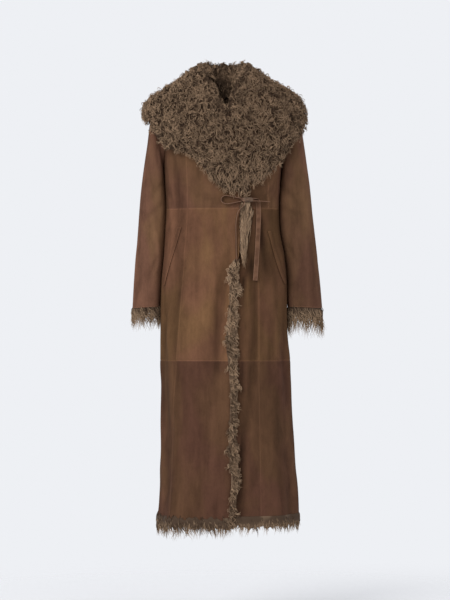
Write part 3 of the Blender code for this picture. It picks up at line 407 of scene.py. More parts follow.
# Painted shade in the fold at the throat and on the roll behind the neck:
FOLD_SHADE = 0.4  # darker there
BEHIND_SHADE = 0.35  # and on the roll behind the neck
LOW_TINT = 0.14  # lighter at the collar's low point in front, where the curls hang straighter
ROLL_CLUMP_RUN = 0.0045  # metres of the collar's roll to a clump
ROLL_IN = 0.12  # the strip inside the roll reaches in by this share of its distance from the axis
ROLL_DROP = 0.016
ROLL_TINT = -0.1
ROLL_WOOL_LOW = -0.075  # below this height both rolls lie against each other
NECK_TINT = -0.25
STAND_ROOTS = 0.0032  # the stand's strands start this far inside its outer face
# Stretches of the back's inner side below the stand. depth is from the outer face.
NeckStretch = namedtuple("NeckStretch", "start end top low rows depth clumps")
BELOW_NECK = NeckStretch(120, 240, -0.034, -0.115, 12, SKIN_WALL + 0.0005, 90)
NECK_SEAM = NeckStretch(110, 250, -0.026, -0.036, 2, SKIN_WALL * 1.5, 36)
STAND_CLUMPS = 200

CUFF_ROWS = 0.008  # the cuffs' locks grow from this last stretch of the sleeve
CUFF_ROOTS_IN = (0.0036, 0.0024)  # from the sleeve's face to the roots beside the body, and more outside
CUFF_BASE_IN = (0.003, 0.008)  # from the sleeve's face to the dense wool's outer and inner face
CUFF_DROP = (-0.004, 0.014)  # from the cuff's edge down to both ends of the dense wool
# How a fringe hangs: shares of its growth's length, lift and curl, then its flare and its tint.
Hang = namedtuple("Hang", "sizes lifts curls flare tint")
RIGHT_CUFF = Hang(1.0, 0.4, 1.1, -0.03, 0.02)
LEFT_CUFF = Hang(1.35, 0.4, 1.2, -0.02, -0.02)
RIGHT_HEM = Hang(1.1, 0.3, 0.8, 0.02, -0.36)
BACK_HEM = Hang(1.0, 0.5, 0.8, 0.08, -0.2)
LEFT_HEM = Hang(0.76, 0.3, 0.6, -0.02, -0.05)
FRINGE_LEAN = (0.2, 1.6)  # limits of a lock's factor of its fringe's flare
FRINGE_TINTS = 0.22
HEM_CLUMP_RUNS = (0.002, 0.003, 0.0027)  # metres of hem to a clump: right, back and left
HEM_COLUMNS = 80
# Heights of the hem's roots, and how far they stand out of the cloth's face.
HEM_ROOTS = (
    np.linspace(HEM_HEIGHT + 0.015, HEM_HEIGHT - 0.004, 4)[:, None],
    np.linspace(0.0004, -0.0028, 4)[:, None],
)
# Rows of the hem's dense wool: height above the leather's edge, and lift of its outer and inner face.
HEM_BASE = rows_of(
    "above outer inner",
    (19, 0.8, 0.3), (17, 1.4, 0.3), (9, 1.8, 0.3), (-0.4, 1.4, 0.3), (-5, 0.6, -4.5), (-10, -0.6, -4.5),
    (-14, -1.6, -3),
)
HEM_BASE_TOP = 0.65  # share of the heights above the edge, on the right and the back
HEM_BASE_LOW = 1.28  # and of those below it, on the right
EDGE_PADS = (0.0035, 0.008)  # the band's left and right borders that are free of the edge's strands
EDGE_BASE_PADS = (0.003, 0.006)  # and of its dense wool
EDGE_COLUMNS, EDGE_BASE_COLUMNS = 160, 120
EDGE_LIFT = 0.001
EDGE_WAY, EDGE_SWING = (0.06, 0, -0.9), 0.5  # the strands' way, and how far it swings to either side
EDGE_STRAY = 0.2
EDGE_TINT_HIGH, EDGE_TINT_LOW = 0.25, -0.1  # lighter in the upper part, darker near the hem
EDGE_HIGH, EDGE_LOW = (-0.78, -0.66), (-0.8, -0.95)
EDGE_TINTS = 0.27
TONGUE_BASE_PADS, TONGUE_COLUMNS = (0.002, 0.004), 30
TONGUE_TINT = 0.3
TONGUE_BASE_ALONG, TONGUE_BASE_TINT = (0.55, 0.75), 0.6
RIDGE_FOOT, RIDGE_HEIGHT = 0.0005, 0.003  # of the low ridge of dense wool on both bands

# --- Stage ---
FLOOR_RINGS, FLOOR_COLUMNS = (0.02, 0.5, 1.0, 1.6, 2.4), 96
FLOOR_FADE = (0.4, 1.9)  # the floor fades out between these distances from the coat's middle
CAMERA_LENS = 140.0  # millimetres
CAMERA_DISTANCE = 7.0
CAMERA_HEIGHT = -0.645
Lamp = namedtuple("Lamp", "name place target size")
KEY = Lamp("key", (-5.0, -8.4, 3.6), (0, 0, -0.6), 5.0)
FILL = Lamp("fill", (3.0, -4.0, 0.2), (0, 0, -0.7), 2.6)


# --- Curves and surfaces ---
def smooth_through(x, xs, ys):
    """A curve through the points xs, ys that never overshoots them, at x.

    Between two points it is the cubic with those ends and slopes. The slope at a point is the harmonic mean
    of the slopes on both sides, or 0 where they point different ways.
    """
    slopes = np.diff(ys) / np.diff(xs)
    tangents = np.zeros(len(xs))
    same_way = slopes[:-1] * slopes[1:] > 0
    sums = np.where(same_way, slopes[:-1] + slopes[1:], 1.0)
    tangents[1:-1] = np.where(same_way, 2 * slopes[:-1] * slopes[1:] / sums, 0.0)
    tangents[0], tangents[-1] = slopes[0], slopes[-1]
    x = np.clip(np.asarray(x, float), xs[0], xs[-1])
    i = np.clip(np.searchsorted(xs, x, side="right") - 1, 0, len(xs) - 2)
    step = xs[i + 1] - xs[i]
    return cubic((x - xs[i]) / step, ys[i], ys[i + 1], tangents[i] * step, tangents[i + 1] * step)


def cubic(t, start, end, leave, arrive):
    """The cubic from start to end, as t goes from 0 to 1, with those slopes at its ends."""
    rise = t * t * (3 - 2 * t)
    return start * (1 - rise) + end * rise + leave * t * (1 - t) ** 2 + arrive * t * t * (t - 1)


def smooth(x, table, column):
    """A column of a table at x, where the table's first column is x."""
    xs = np.array([row[0] for row in table], float)
    ys = np.array([getattr(row, column) for row in table], float)
    return smooth_through(x, xs, ys)


def smooth_either(x, table, is_first, first, second):
    """One column of a table at x where is_first holds, and another one elsewhere."""
    return np.where(is_first, smooth(x, table, first), smooth(x, table, second))


def ease(x, start, end):
    """0 up to start, 1 from end on, and an S curve between them. start may be the larger one."""
    t = np.clip((x - start) / (end - start), 0, 1)
    return t * t * (3 - 2 * t)


def bell(away, wide):
    """1 where away is 0, and less on both sides in a bell curve of that half width."""
    return np.exp(-((away / wide) ** 2))


def unit(vectors):
    """The vectors at length 1."""
    return vectors / np.maximum(np.linalg.norm(vectors, axis=-1, keepdims=True), 1e-12)


def sine_cosine(bearing):
    """Sine and cosine of an angle in degrees."""
    turn = np.radians(bearing)
    return np.sin(turn), np.cos(turn)


def round_turn(count):
    """That many angles evenly round a full turn, in radians."""
    return np.linspace(0, 2 * math.pi, count, endpoint=False)


def oval(one, other, power):
    """The radius of a super-ellipse, (|one|^power + |other|^power)^(-1 / power)."""
    return (np.abs(one) ** power + np.abs(other) ** power) ** (-1 / power)


def run_along(points, axis):
    """How far each point of a grid is from the first one, along the grid's lines on that axis."""
    steps = np.linalg.norm(np.diff(points, axis=axis), axis=-1)
    start = np.zeros_like(np.take(steps, [0], axis=axis))
    return np.concatenate([start, np.cumsum(steps, axis=axis)], axis=axis)


def half_width(side, height):
    """Half the body's width at a height, on the right side where side is negative."""
    return smooth_either(height, BODY, side < 0, "right_half", "left_half")


def bearing_at(x, height):
    """The bearing of the point of the front that stands x from the centre, seen from the front."""
    share = np.clip(np.abs(x) / half_width(x, height), 0, 1)
    forward = (1 - share**SECTION_POWER) ** (1 / SECTION_POWER)
    return np.degrees(np.arctan2(share, forward)) * np.sign(x)


def fold_depth(bearing, height):
    """How far the large folds push the cloth out. Each is a bell curve across, and grows downwards."""
    total = np.zeros(np.broadcast(bearing, height).shape)
    for fold in FOLDS:
        run = ease(fold.top - height, 0, FOLD_RUN)
        away = (bearing - fold.bearing - fold.drift * run + 180) % 360 - 180
        total += fold.depth * run * bell(away, fold.half_angle)
    return total


def shoulder_rise(height):
    """0 up to the underarm and 1 at the neck point."""
    return np.clip((height - UNDERARM_HEIGHT) / (NECK_POINT_HEIGHT - UNDERARM_HEIGHT), 0, 1)


def body_surface(bearing, height, lift=0.0):
    """Points of the coat's outer face, moved out by lift.

    Each section is a super-ellipse. Above the underarm its depths close over the shoulder like an arch, and
    its sides sink by the shoulder's slope.
    """
    bearing, height = np.broadcast_arrays(np.asarray(bearing, float), np.asarray(height, float))
    sine, cosine = sine_cosine(bearing)
    size = oval(sine, cosine, SECTION_POWER)
    rise = shoulder_rise(height)
    arch = np.sqrt(np.clip(1 - rise**SHOULDER_ROUNDING, 0, 1))
    depth = smooth_either(height, BODY, cosine > 0, "front_depth", "back_depth") * arch
    width = half_width(sine, height)
    x, y = width * sine * size, -depth * cosine * size
    z = height - SHOULDER_DROP * rise**2 * np.abs(sine * size) ** SHOULDER_CURVE
    out_x, out_y = sine / width, -cosine / np.maximum(depth, 0.02)
    length = np.hypot(out_x, out_y)
    out = fold_depth(bearing, height) + lift
    return np.stack([x + out * out_x / length, y + out * out_y / length, z], -1)


def crease_push(across, up, creases, radius):
    """How far creases push the cloth out at a place across and up it, in metres.

    A crease is a bell curve across its line and an arch along it, sin(pi * share^p)^0.8, where p places its
    deepest point. The line bends to one side, by a sine along it. Both differ from crease to crease.
    """
    total = np.zeros(np.broadcast(across, up).shape)
    for number, crease in enumerate(creases):
        start = np.array([math.radians(crease.bearing) * radius, crease.height])
        way = np.array([math.radians(crease.end_bearing) * radius, crease.end_height]) - start
        length = np.hypot(*way)
        middle = start[0] + way[0] / 2
        half_turn = math.pi * radius
        beside = (across - middle + half_turn) % (2 * half_turn) - half_turn + way[0] / 2
        above = up - start[1]
        along = (beside * way[0] + above * way[1]) / length**2
        off = (beside * way[1] - above * way[0]) / length
        inside = np.clip(along, 0, 1)
        bend = CREASE_BEND * length * np.sin(math.pi * inside + 1.7 * number) * (-1) ** number
        arch = np.sin(math.pi * inside ** (0.6 + 0.15 * (number % 5))) ** 0.8
        total += crease.depth * arch * bell(off - bend, crease.half_width)
    return total


def dents(turn, height):
    """Shallow dents all over the cloth, as a sum of slanted waves that close round the body."""
    return DENT * (
        np.sin(3 * turn + 17 * height)
        + 0.8 * np.sin(5 * turn - 23 * height + 1)
        + 0.6 * np.sin(9 * turn + 31 * height + 2)
        + 0.4 * np.sin(14 * turn - 47 * height + np.sin(19 * height))
    )


def body_creases(bearing, height):
    """How far the body's creases push the cloth out, and how far they and its dents do."""
    turn = np.radians(bearing)
    creases = crease_push(turn * CREASE_RADIUS, height, CREASES, CREASE_RADIUS)
    return creases, creases + dents(turn, height)


def wear(push):
    """How much lighter the cloth is rubbed where it is pushed out, and below 0, as painted shade, where it is
    pushed in.
    """
    return WEAR_SHADE_MOST * np.tanh(push / WEAR_SHADE_DEPTH / WEAR_SHADE_MOST)


def seam_shares(length):
    """Shares of a length of cloth from 0 to 1, close together beside the seams at both ends."""
    near = np.array(SEAM_LINES) / length
    count = max(2, round((length - 2 * SEAM_LINES[-1]) / CELL))
    return np.concatenate([near[:-1], np.linspace(near[-1], 1 - near[-1], count + 1), 1 - near[-2::-1]])


def seam_distances(across, up):
    """Distances from the nearer of the seams at a row's ends, and of those at a column's ends."""
    return np.minimum(across, across[:, -1:] - across), np.minimum(up, up[-1:] - up)


def armhole_heights(turn):
    """Heights of the armhole's points, at turns from the shoulder tip, where it is pi at the underarm."""
    return UNDERARM_HEIGHT * (1 - np.cos(turn)) / 2


def armhole_bearing(height):
    """How far from the side seam the armhole's front and back edges lie at a height, in degrees."""
    return ARMHOLE_BITE * np.sqrt(1 - (1 - shoulder_rise(height)) ** 3)


def tier_heights(tier):
    """Heights of a tier's rows. Above the underarm they crowd towards the shoulder seam."""
    low, high = tier.low + SEAM_GAP / 2, tier.high - SEAM_GAP / 2
    if tier.high < NECK_POINT_HEIGHT:
        return low + (high - low) * seam_shares(high - low)
    straight = seam_shares(2 * (UNDERARM_HEIGHT - low))
    straight = low + 2 * (UNDERARM_HEIGHT - low) * straight[straight < 0.499]
    turns = np.linspace(math.pi, 0, round(-UNDERARM_HEIGHT * 1.3 / CELL))
    return np.concatenate([straight, armhole_heights(turns)])


def front_lift(x, height, edge_x, is_right):
    """The right front rises to its open edge and rolls out there, and the left front dips under it."""
    if not is_right:
        return -UNDERLAP * (1 - ease(x, edge_x + UNDERLAP_RISE[0], edge_x + UNDERLAP_RISE[1]))
    shrinks = LIP_SHRINKS * ease(KNEE_HEIGHT - height, *LIP_FLATTENS)
    roll = LIP_ROLL * ease(WAIST_HEIGHT - height, *LIP_STARTS) * (1 - shrinks)
    rise = EDGE_STAND * ease(x, edge_x - EDGE_RISE, edge_x)
    return rise + roll * ease(x, edge_x - LIP_WIDTH, edge_x)


# --- Meshes ---
def grid_faces(rows, columns, closed=False):
    """Corners of a grid's cells, with points counted along its rows. closed joins a row's two ends."""
    i = np.arange(rows - 1)[:, None]
    j = np.arange(columns if closed else columns - 1)[None, :]
    k = (j + 1) % columns
    corners = [i * columns + j, i * columns + k, (i + 1) * columns + k, (i + 1) * columns + j]
    return np.stack(corners, -1).reshape(-1, 4)


def tube_faces(rows, columns):
    """Faces of a closed tube whose rows are rings: its wall, its first end and its last end."""
    ring = np.arange(columns)[None, :]
    return [grid_faces(rows, columns, True), ring[:, ::-1], (rows - 1) * columns + ring]


def over(values, shape):
    """The values of some axes of a grid, one for each of its points."""
    return np.broadcast_to(values, shape).reshape(-1)


def add_object(name, points, face_groups, looks, attributes=None):
    """An object at the origin, from points [n, 3] and groups of faces with equally many corners."""
    mesh = bpy.data.meshes.new(name)
    corners = np.concatenate([faces.ravel() for faces in face_groups])
    sizes = np.concatenate([np.full(len(faces), faces.shape[1]) for faces in face_groups])
    mesh.vertices.add(len(points))
    mesh.vertices.foreach_set("co", np.asarray(points, np.float32).ravel())
    mesh.loops.add(len(corners))
    mesh.loops.foreach_set("vertex_index", corners.astype(np.int32))
    mesh.polygons.add(len(sizes))
    mesh.polygons.foreach_set("loop_start", (np.cumsum(sizes) - sizes).astype(np.int32))
    mesh.update(calc_edges=True)
    mesh.shade_smooth()
    for key, values in (attributes or {}).items():
        is_vector = values.ndim > 1
        layer = mesh.attributes.new(key, "FLOAT_VECTOR" if is_vector else "FLOAT", "POINT")
        layer.data.foreach_set("vector" if is_vector else "value", np.asarray(values, np.float32).ravel())
    for look in looks:
        mesh.materials.append(look)
    return linked(name, mesh)


def linked(name, data):
    """An object of that name in the scene."""
    obj = bpy.data.objects.new(name, data)
    bpy.context.scene.collection.objects.link(obj)
    return obj


def add_shell(name, points, looks, thickness, outward, closed=False, attributes=None):
    """Cloth from a grid of points [row, column, 3]. looks are those of the outer and the inner face.

    outward is 1 where the grid is the inner face and -1 where it is the outer one.
    """
    rows, columns = points.shape[:2]
    flat = {key: values.reshape(-1, *values.shape[2:]) for key, values in (attributes or {}).items()}
    faces = grid_faces(rows, columns, closed)
    obj = add_object(name, points.reshape(-1, 3), [faces], looks, flat)
    solidify = obj.modifiers.new("Thickness", "SOLIDIFY")
    solidify.thickness = thickness
    solidify.offset = outward
    if outward < 0:
        solidify.material_offset = 1
        solidify.material_offset_rim = 1
    return obj


def mirrored(marks, *grids):
    """The marks and grids with their columns the other way round, which turns their faces over."""
    return {key: values[:, ::-1] for key, values in marks.items()}, *(grid[:, ::-1] for grid in grids)


def settle(obj, slot, *nodes):
    """The piece rides on the coat and stands for the nodes of the frame, which it hides. slot is not used."""
    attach(obj, "root")
    if nodes:
        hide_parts(*nodes)
    return obj


# --- Cloth ---
def cloth_form(bearing, height, lift):
    """Points of a panel with its creases, dents and seams, its smooth form, and its attributes.

    seam holds each point's distance from the nearest vertical seam, from the nearest level seam and from the
    panel's first column, in metres. The other mark is how much lighter the cloth is: rubbed paler on ridges,
    and darker in troughs as painted shade.
    """
    flat = body_surface(bearing, height, lift)
    across, up = run_along(flat, 1), run_along(flat, 0)
    beside, above = seam_distances(across, up)
    dip = SEAM_DIP * (bell(beside, SEAM_SOFT) + bell(above, SEAM_SOFT))
    creases, soft = body_creases(bearing, height)
    beside_sleeve = ease(90 - np.abs(np.abs((bearing + 180) % 360 - 180) - 90), *CALM)
    soft = soft * (1 - beside_sleeve * ease(height, SLEEVE_LEAVES[0] - CALM_LOW, SLEEVE_LEAVES[1]))
    push = soft * ease(-height, *SHOULDER_CALM) - np.minimum(dip, SEAM_DIP)
    worn = wear(creases + fold_depth(bearing, height) * FOLD_WEAR_SHADE)
    marks = {"seam": np.stack([beside, above, across], -1), "worn": worn}
    return body_surface(bearing, height, lift + push), flat, marks


def front_tone(name, tier, x, height, edge_x):
    """How much lighter a front piece is at a distance from the centre front and a height.

    The right pieces are rubbed lighter along the open edge and are lighter at the hip. They have painted
    shade in the groove beside that edge. The left ones have painted shadow beside the edge's wool and the
    long wool, and below the tie.
    """
    if name.startswith("right"):
        left_over = LIP_WEAR_LOW + (1 - LIP_WEAR_LOW) * ease(height, *LIP_WEAR_HEIGHTS)
        lip = LIP_WEAR * left_over * front_lift(x, height, edge_x, True) / (EDGE_STAND + LIP_ROLL)
        # Painted shade in the groove beside the open edge.
        groove = ease(height, *GROOVE_TOP) * ease(height, *GROOVE_LOW)
        tone = lip - GROOVE_SHADE * groove * bell(x - GROOVE_X, GROOVE_WIDE)
        if name == "right_side" and tier is SKIRT:
            tone = tone + HIP_LIGHTER * ease(height, *HIP_LIGHTER_HEIGHTS)
        return tone
    # Painted shadow beside the edge's wool, below the tie and beside the long wool.
    left_over = UNDER_WOOL_LOW + (1 - UNDER_WOOL_LOW) * ease(height, *UNDER_WOOL_HEIGHTS)
    beside_wool = bell(x - edge_x - UNDER_WOOL_OFF, UNDER_WOOL_WIDE) * ease(height, *UNDER_WOOL_TOP)
    tone = -UNDER_WOOL_SHADOW * left_over * beside_wool
    if tier is BODICE:
        return tone
    below_tie = ease(height, *UNDER_TIE_HEIGHTS)
    below_tie = below_tie * (1 - UNDER_TIE_SIDE_LOSS * ease(x, *UNDER_TIE_SIDE))
    beside_tongue = bell(x - BESIDE_TONGUE_X, BESIDE_TONGUE_WIDE) * ease(height, *BESIDE_TONGUE_HEIGHTS)
    return tone - below_tie * (UNDER_TIE_SHADOW + BESIDE_TONGUE_SHADOW * beside_tongue)


def front_panel(name, tier, start, end):
    """A front piece between two lines, each a table of LINE or the side seam's bearing.

    A row's points lie at shares of the way in bearing from one line to the other.
    """
    height = tier_heights(tier)[:, None]
    limits = []
    for line in (start, end):
        if isinstance(line, (int, float)):
            limits.append(line - np.sign(line) * (armhole_bearing(height) + ARMHOLE_MARGIN))
        else:
            limits.append(bearing_at(smooth(height, line, "x"), height))
    first, last = limits[0] + SEAM_TURN, limits[1] - SEAM_TURN
    middle = len(height) // 3
    width = math.radians(float(last[middle, 0] - first[middle, 0])) * SEAM_RADIUS
    bearing = first + (last - first) * seam_shares(width)[None, :]
    edge_x = smooth(height, RIGHT_EDGE, "x")
    x = body_surface(bearing, height)[..., 0]
    lift = front_lift(x, height, edge_x, name.startswith("right"))
    points, flat, marks = cloth_form(bearing, height, lift)
    marks["worn"] = marks["worn"] + front_tone(name, tier, x, height, edge_x)
    if tier is BODICE:
        points[..., 1] = np.minimum(points[..., 1], -SEAM_GAP / 2)
    return points, flat, marks


def back_panel(tier):
    """A back piece from side seam to side seam. The bodice's top follows the shoulders and the neck."""
    height = tier_heights(tier)[:, None]
    reach = 90 - armhole_bearing(height) - ARMHOLE_MARGIN - SEAM_TURN
    share = 2 * seam_shares(math.pi * SEAM_RADIUS)[None, :] - 1
    if tier is BODICE:
        neck = BACK_NECK_DIP * np.sqrt(np.clip(1 - (share / BACK_NECK_SHARE) ** 2, 0, 1))
        height = height - neck * shoulder_rise(height)
    points, flat, marks = cloth_form(180 + share * reach, height + 0 * share, 0.0)
    if tier is BODICE:
        points[..., 1] = np.maximum(points[..., 1], SEAM_GAP / 2)
    return points, flat, marks


def sleeve_form(side, table, creases):
    """Points of a sleeve with its creases, its smooth form and its attributes.

    A ring is a super-ellipse between the arm's outer and inner line, whose sizes change smoothly.
    Ahead of the first ring it blends into the armhole.
    """
    rings = np.array(table)
    number = np.arange(len(rings))
    fine = np.linspace(0, number[-1], 400)
    outer_line = [smooth_through(fine, number, rings[:, column]) for column in range(2)]
    run = run_along(np.stack(outer_line, -1), 0)
    near_cuff = run[-1] - np.array(SEAM_LINES)[::-1]
    at = np.interp(np.concatenate([np.arange(0, near_cuff[0], CELL), near_cuff]), run, fine)
    turn = round_turn(SLEEVE_COLUMNS)
    sizes = [smooth_through(at, number, rings[:, column])[:, None] for column in range(6)]
    outer_x, outer_z, inner_x, inner_z, half_depth, middle_y = sizes
    behind = (middle_y / smooth(inner_z, BODY, "back_depth")) ** SECTION_POWER
    body_x = half_width(side, inner_z) * (1 - behind) ** (1 / SECTION_POWER) + SLEEVE_REST
    inner_x = inner_x + (body_x - inner_x) * ease(inner_z, *SLEEVE_LEAVES)
    outer = np.stack([side * outer_x, middle_y, outer_z], -1)
    inner = np.stack([side * inner_x, middle_y, inner_z], -1)
    forward = np.stack([0 * half_depth, -half_depth, 0 * half_depth], -1)
    cosine, sine = np.cos(turn)[:, None], np.sin(turn)[:, None]
    size = oval(cosine, sine, SLEEVE_POWER)
    ovals = (outer + inner) / 2 + size * (cosine * (outer - inner) / 2 + sine * forward)
    head_height = armhole_heights(turn)
    bite = armhole_bearing(head_height)
    head_bearing = side * np.where(turn <= math.pi, 90 - bite, 90 + bite)
    head = body_surface(head_bearing, head_height) + np.array([side * SLEEVE_HEAD_OUT, 0, 0])
    share = np.array(SLEEVE_BLEND)[:, None, None]
    puff = SLEEVE_PUFF * np.sin(math.pi * share) * (1 + cosine) / 2 * np.array([side, 0, 0.5])
    flat = np.concatenate([head + (ovals[0] - head) * share + puff, ovals])
    out = unit(flat - flat.mean(1, keepdims=True))
    down = run_along(flat, 0)
    angle = np.degrees(turn)
    angle = np.where(angle > 180, angle - 360, angle)[None, :]
    across = np.radians(angle) * SLEEVE_RADIUS + 0 * down
    push = crease_push(np.radians(angle) * SLEEVE_RADIUS, flat[..., 2], creases, SLEEVE_RADIUS)
    push = push * ease(down, *SLEEVE_STARTS) * ease(180 - np.abs(angle), *SLEEVE_CALM)
    above = np.minimum(down, down[-1:] - down)
    dip = SEAM_DIP * bell(above, SEAM_SOFT) * (flat[..., 2] > ARMHOLE_SEAM_LOW)
    points = flat + out * (push - dip)[..., None]
    beside = np.radians(180 - np.abs(angle)) * SLEEVE_RADIUS + 0 * down
    return points, flat, {"seam": np.stack([beside, above, across], -1), "worn": wear(push)}


def round_points(radius, bearing, height):
    """Points at a radius from the neck's axis, in a true bearing and at a height."""
    sine, cosine = sine_cosine(bearing)
    return np.stack([radius * sine, -radius * cosine, np.broadcast_to(height, radius.shape)], -1)


def dome_point(bearing, height):
    """A point of the collar's skin side, in a true bearing from the neck's centre."""
    sine, cosine = sine_cosine(bearing)
    side = smooth_either(height, COLLAR_DOME, sine < 0, "right", "left")
    depth = smooth_either(height, COLLAR_DOME, cosine > 0, "front", "back")
    return round_points(oval(sine / side, cosine / depth, SECTION_POWER), bearing, height)


def collar_points(bearing, roll, rim, rows):
    """A grid whose columns run down the dome from the roll to the rim with evenly spaced points."""
    share = np.linspace(0, 1, 90)[:, None]
    top, bottom = smooth(bearing, roll, "height"), smooth(bearing, rim, "height")
    fine = dome_point(bearing[None, :], top + (bottom - top) * share)
    run = run_along(fine, 0)
    wanted = np.linspace(0, 1, rows)[:, None] * run[-1]
    before = np.clip((run[None] <= wanted[:, None]).sum(1) - 1, 0, len(fine) - 2)
    start = np.take_along_axis(run, before, 0)
    step = np.take_along_axis(run, before + 1, 0) - start
    part = ((wanted - start) / np.maximum(step, 1e-9))[..., None]
    first = np.take_along_axis(fine, before[..., None], 0)
    second = np.take_along_axis(fine, before[..., None] + 1, 0)
    return first + (second - first) * part


def stand_points(columns, rows):
    """A grid of the collar stand's outer face, up from its foot on the neck seam to the roll.

    Its radius goes evenly from the foot's to the top's, and the last part leans out to the roll.
    """
    bearing = np.linspace(STAND_END, 360 - STAND_END, columns)
    mirrored_bearing = np.minimum(bearing, 360 - bearing)
    foot, foot_radius = (smooth(mirrored_bearing, STAND_FOOT, column) for column in ("height", "radius"))
    top = smooth(mirrored_bearing, LEFT_ROLL, "height") - 2 * SEAM_GAP
    roll = dome_point(bearing, top)
    roll_radius = np.hypot(roll[:, 0], roll[:, 1])
    top_radius = np.minimum(roll_radius - STAND_INSET, STAND_RADIUS)
    share = np.linspace(0, 1, rows)[:, None]
    ledge = (roll_radius - SEAM_GAP - top_radius) * ease(share, STAND_LEDGE, 1)
    radius = foot_radius + (top_radius - foot_radius) * share + ledge
    return round_points(radius, bearing, foot + (top - foot) * share)


# --- Wool ---
Ground = namedtuple("Ground", "place out down side share")
Clumps = namedtuple("Clumps", "root out flow length lift curl turns phase tint thick")


def cell_areas(points):
    """The areas of a grid's cells: half of the cross product of their diagonals."""
    one, other = points[1:, 1:] - points[:-1, :-1], points[1:, :-1] - points[:-1, 1:]
    return np.linalg.norm(np.cross(one, other), axis=-1) / 2


def scatter(points, count, dice, outward=1, weight=1.0):
    """Places spread evenly over a grid of points, with the ways out of it, down its columns and sideways.

    Place k takes the shares k * (0.7549, 0.5698) modulo 1, moved a little. The first share picks a column
    by the columns' running area, times weight, and the second a row by the running area down that column.
    Ground's share is how far down its column a place lies, from 0 to 1.
    """
    area = cell_areas(points) * weight
    jitter = dice.normal(0, SPREAD_JITTER, (count, 2))
    shares = (np.arange(count)[:, None] * np.array(SPREAD_STEPS) + jitter) % 1
    reach = np.concatenate([[0], np.cumsum(area.sum(0))])
    wanted = shares[:, 0] * reach[-1]
    j = np.clip(np.searchsorted(reach, wanted, side="right") - 1, 0, area.shape[1] - 1)
    b = ((wanted - reach[j]) / (reach[j + 1] - reach[j]))[:, None]
    down_run = np.concatenate([np.zeros((1, count)), np.cumsum(area, axis=0)[:, j]])
    wanted = shares[:, 1] * down_run[-1]
    i = np.clip((down_run <= wanted).sum(0) - 1, 0, area.shape[0] - 1)
    each = np.arange(count)
    a = ((wanted - down_run[i, each]) / (down_run[i + 1, each] - down_run[i, each]))[:, None]
    top = points[i, j] * (1 - b) + points[i, j + 1] * b
    low = points[i + 1, j] * (1 - b) + points[i + 1, j + 1] * b
    down = unit(low - top)
    across = points[i, j + 1] - points[i, j] + points[i + 1, j + 1] - points[i + 1, j]
    out = unit(np.cross(down, across)) * outward
    return Ground(top * (1 - a) + low * a, out, down, unit(across), (i + a[:, 0]) / area.shape[0])


def spread(dice, limits, count):
    """Even random numbers between two limits."""
    return limits[0] + (limits[1] - limits[0]) * dice.random(count)


def clumps_on(ground, flow, growth, dice, sizes=1.0, lifts=1.0, curls=1.0, tints=0.0, thicks=1.0):
    """Clumps of wool on the ground, that grow along flow with the growth's sizes, times the factors given."""
    count = len(ground.place)
    return Clumps(
        ground.place, ground.out, flow,
        spread(dice, growth.length, count) * sizes,
        spread(dice, growth.lift, count) * lifts,
        spread(dice, growth.curl, count) * curls,
        spread(dice, growth.turns, count),
        spread(dice, (0, 2 * math.pi), count),
        np.clip(spread(dice, CLUMP_TINTS, count) + tints, 0, 1),
        np.full(count, 1.0) * thicks,
    )


def joined(parts):
    """The clumps of all parts together."""
    return Clumps(*(np.concatenate(column) for column in zip(*parts)))


def strand_lines(clumps, growth, dice):
    """Middle lines [strand, step, 3] of the clumps' strands, their sideways ways, tints and thicknesses.

    At s from root to tip, a strand has gone length * s along its flow, and stands above the ground by
    lift * (sin(pi * s^0.6) + 0.3 s) and by the curl. It winds round that line at the curl's radius, and the
    strands of a clump, which start side by side, draw together towards its tip.
    """
    each = [np.repeat(part, CLUMP_STRANDS, axis=0) for part in clumps]
    root, out, flow, length, lift, curl, turns, phase, tint, thick = each
    count = len(root)
    flow = flow - out * (flow * out).sum(-1, keepdims=True) * STRAND_HUGS
    side = unit(np.cross(out, flow))
    bend = dice.normal(0, growth.stray * STRAND_BENDS, (count, 1))
    flow = unit(flow * np.cos(bend) + side * np.sin(bend))
    side = unit(np.cross(out, flow))
    s = np.linspace(0, 1, STRAND_STEPS)[None, :]
    length = (length * spread(dice, STRAND_LENGTHS, count))[:, None]
    is_flyaway = np.arange(count) % CLUMP_STRANDS == 0
    lift = lift * spread(dice, STRAND_LIFTS, count) * np.where(is_flyaway, FLYAWAY_LIFT, 1.0)
    thick = thick * np.where(is_flyaway, FLYAWAY_THICKNESS, 1.0)
    wind = (phase + dice.normal(0, STRAND_WINDS, count))[:, None] + 2 * math.pi * turns[:, None] * s
    radius = (curl * spread(dice, STRAND_CURLS, count))[:, None] * np.minimum(1, 3.5 * s)
    start = dice.normal(0, growth.clump / 2, (count, 2))
    close = 1 - 0.5 * s
    rise = lift[:, None] * (np.sin(math.pi * s**0.6) + 0.3 * s) + radius * 0.8 * (1 + np.cos(wind))
    aside = start[:, :1] * close + radius * np.sin(wind)
    ahead = start[:, 1:] * close + length * s
    parts = (rise, out), (aside, side), (ahead, flow)
    lines = root[:, None] + sum(amount[..., None] * way[:, None] for amount, way in parts)
    return lines, side, np.clip(tint + dice.normal(0, STRAND_TINTS, count), 0, 1), thick


def slab(outer, inner):
    """A closed slab between two grids whose rows go down: its points, faces and each point's share down."""
    loop = np.concatenate([outer, inner[::-1]]).transpose(1, 0, 2)
    columns, around = loop.shape[:2]
    share = np.linspace(0, 1, len(outer))
    down = over(np.concatenate([share, share[::-1]]), (columns, around))
    return loop.reshape(-1, 3), tube_faces(columns, around), down


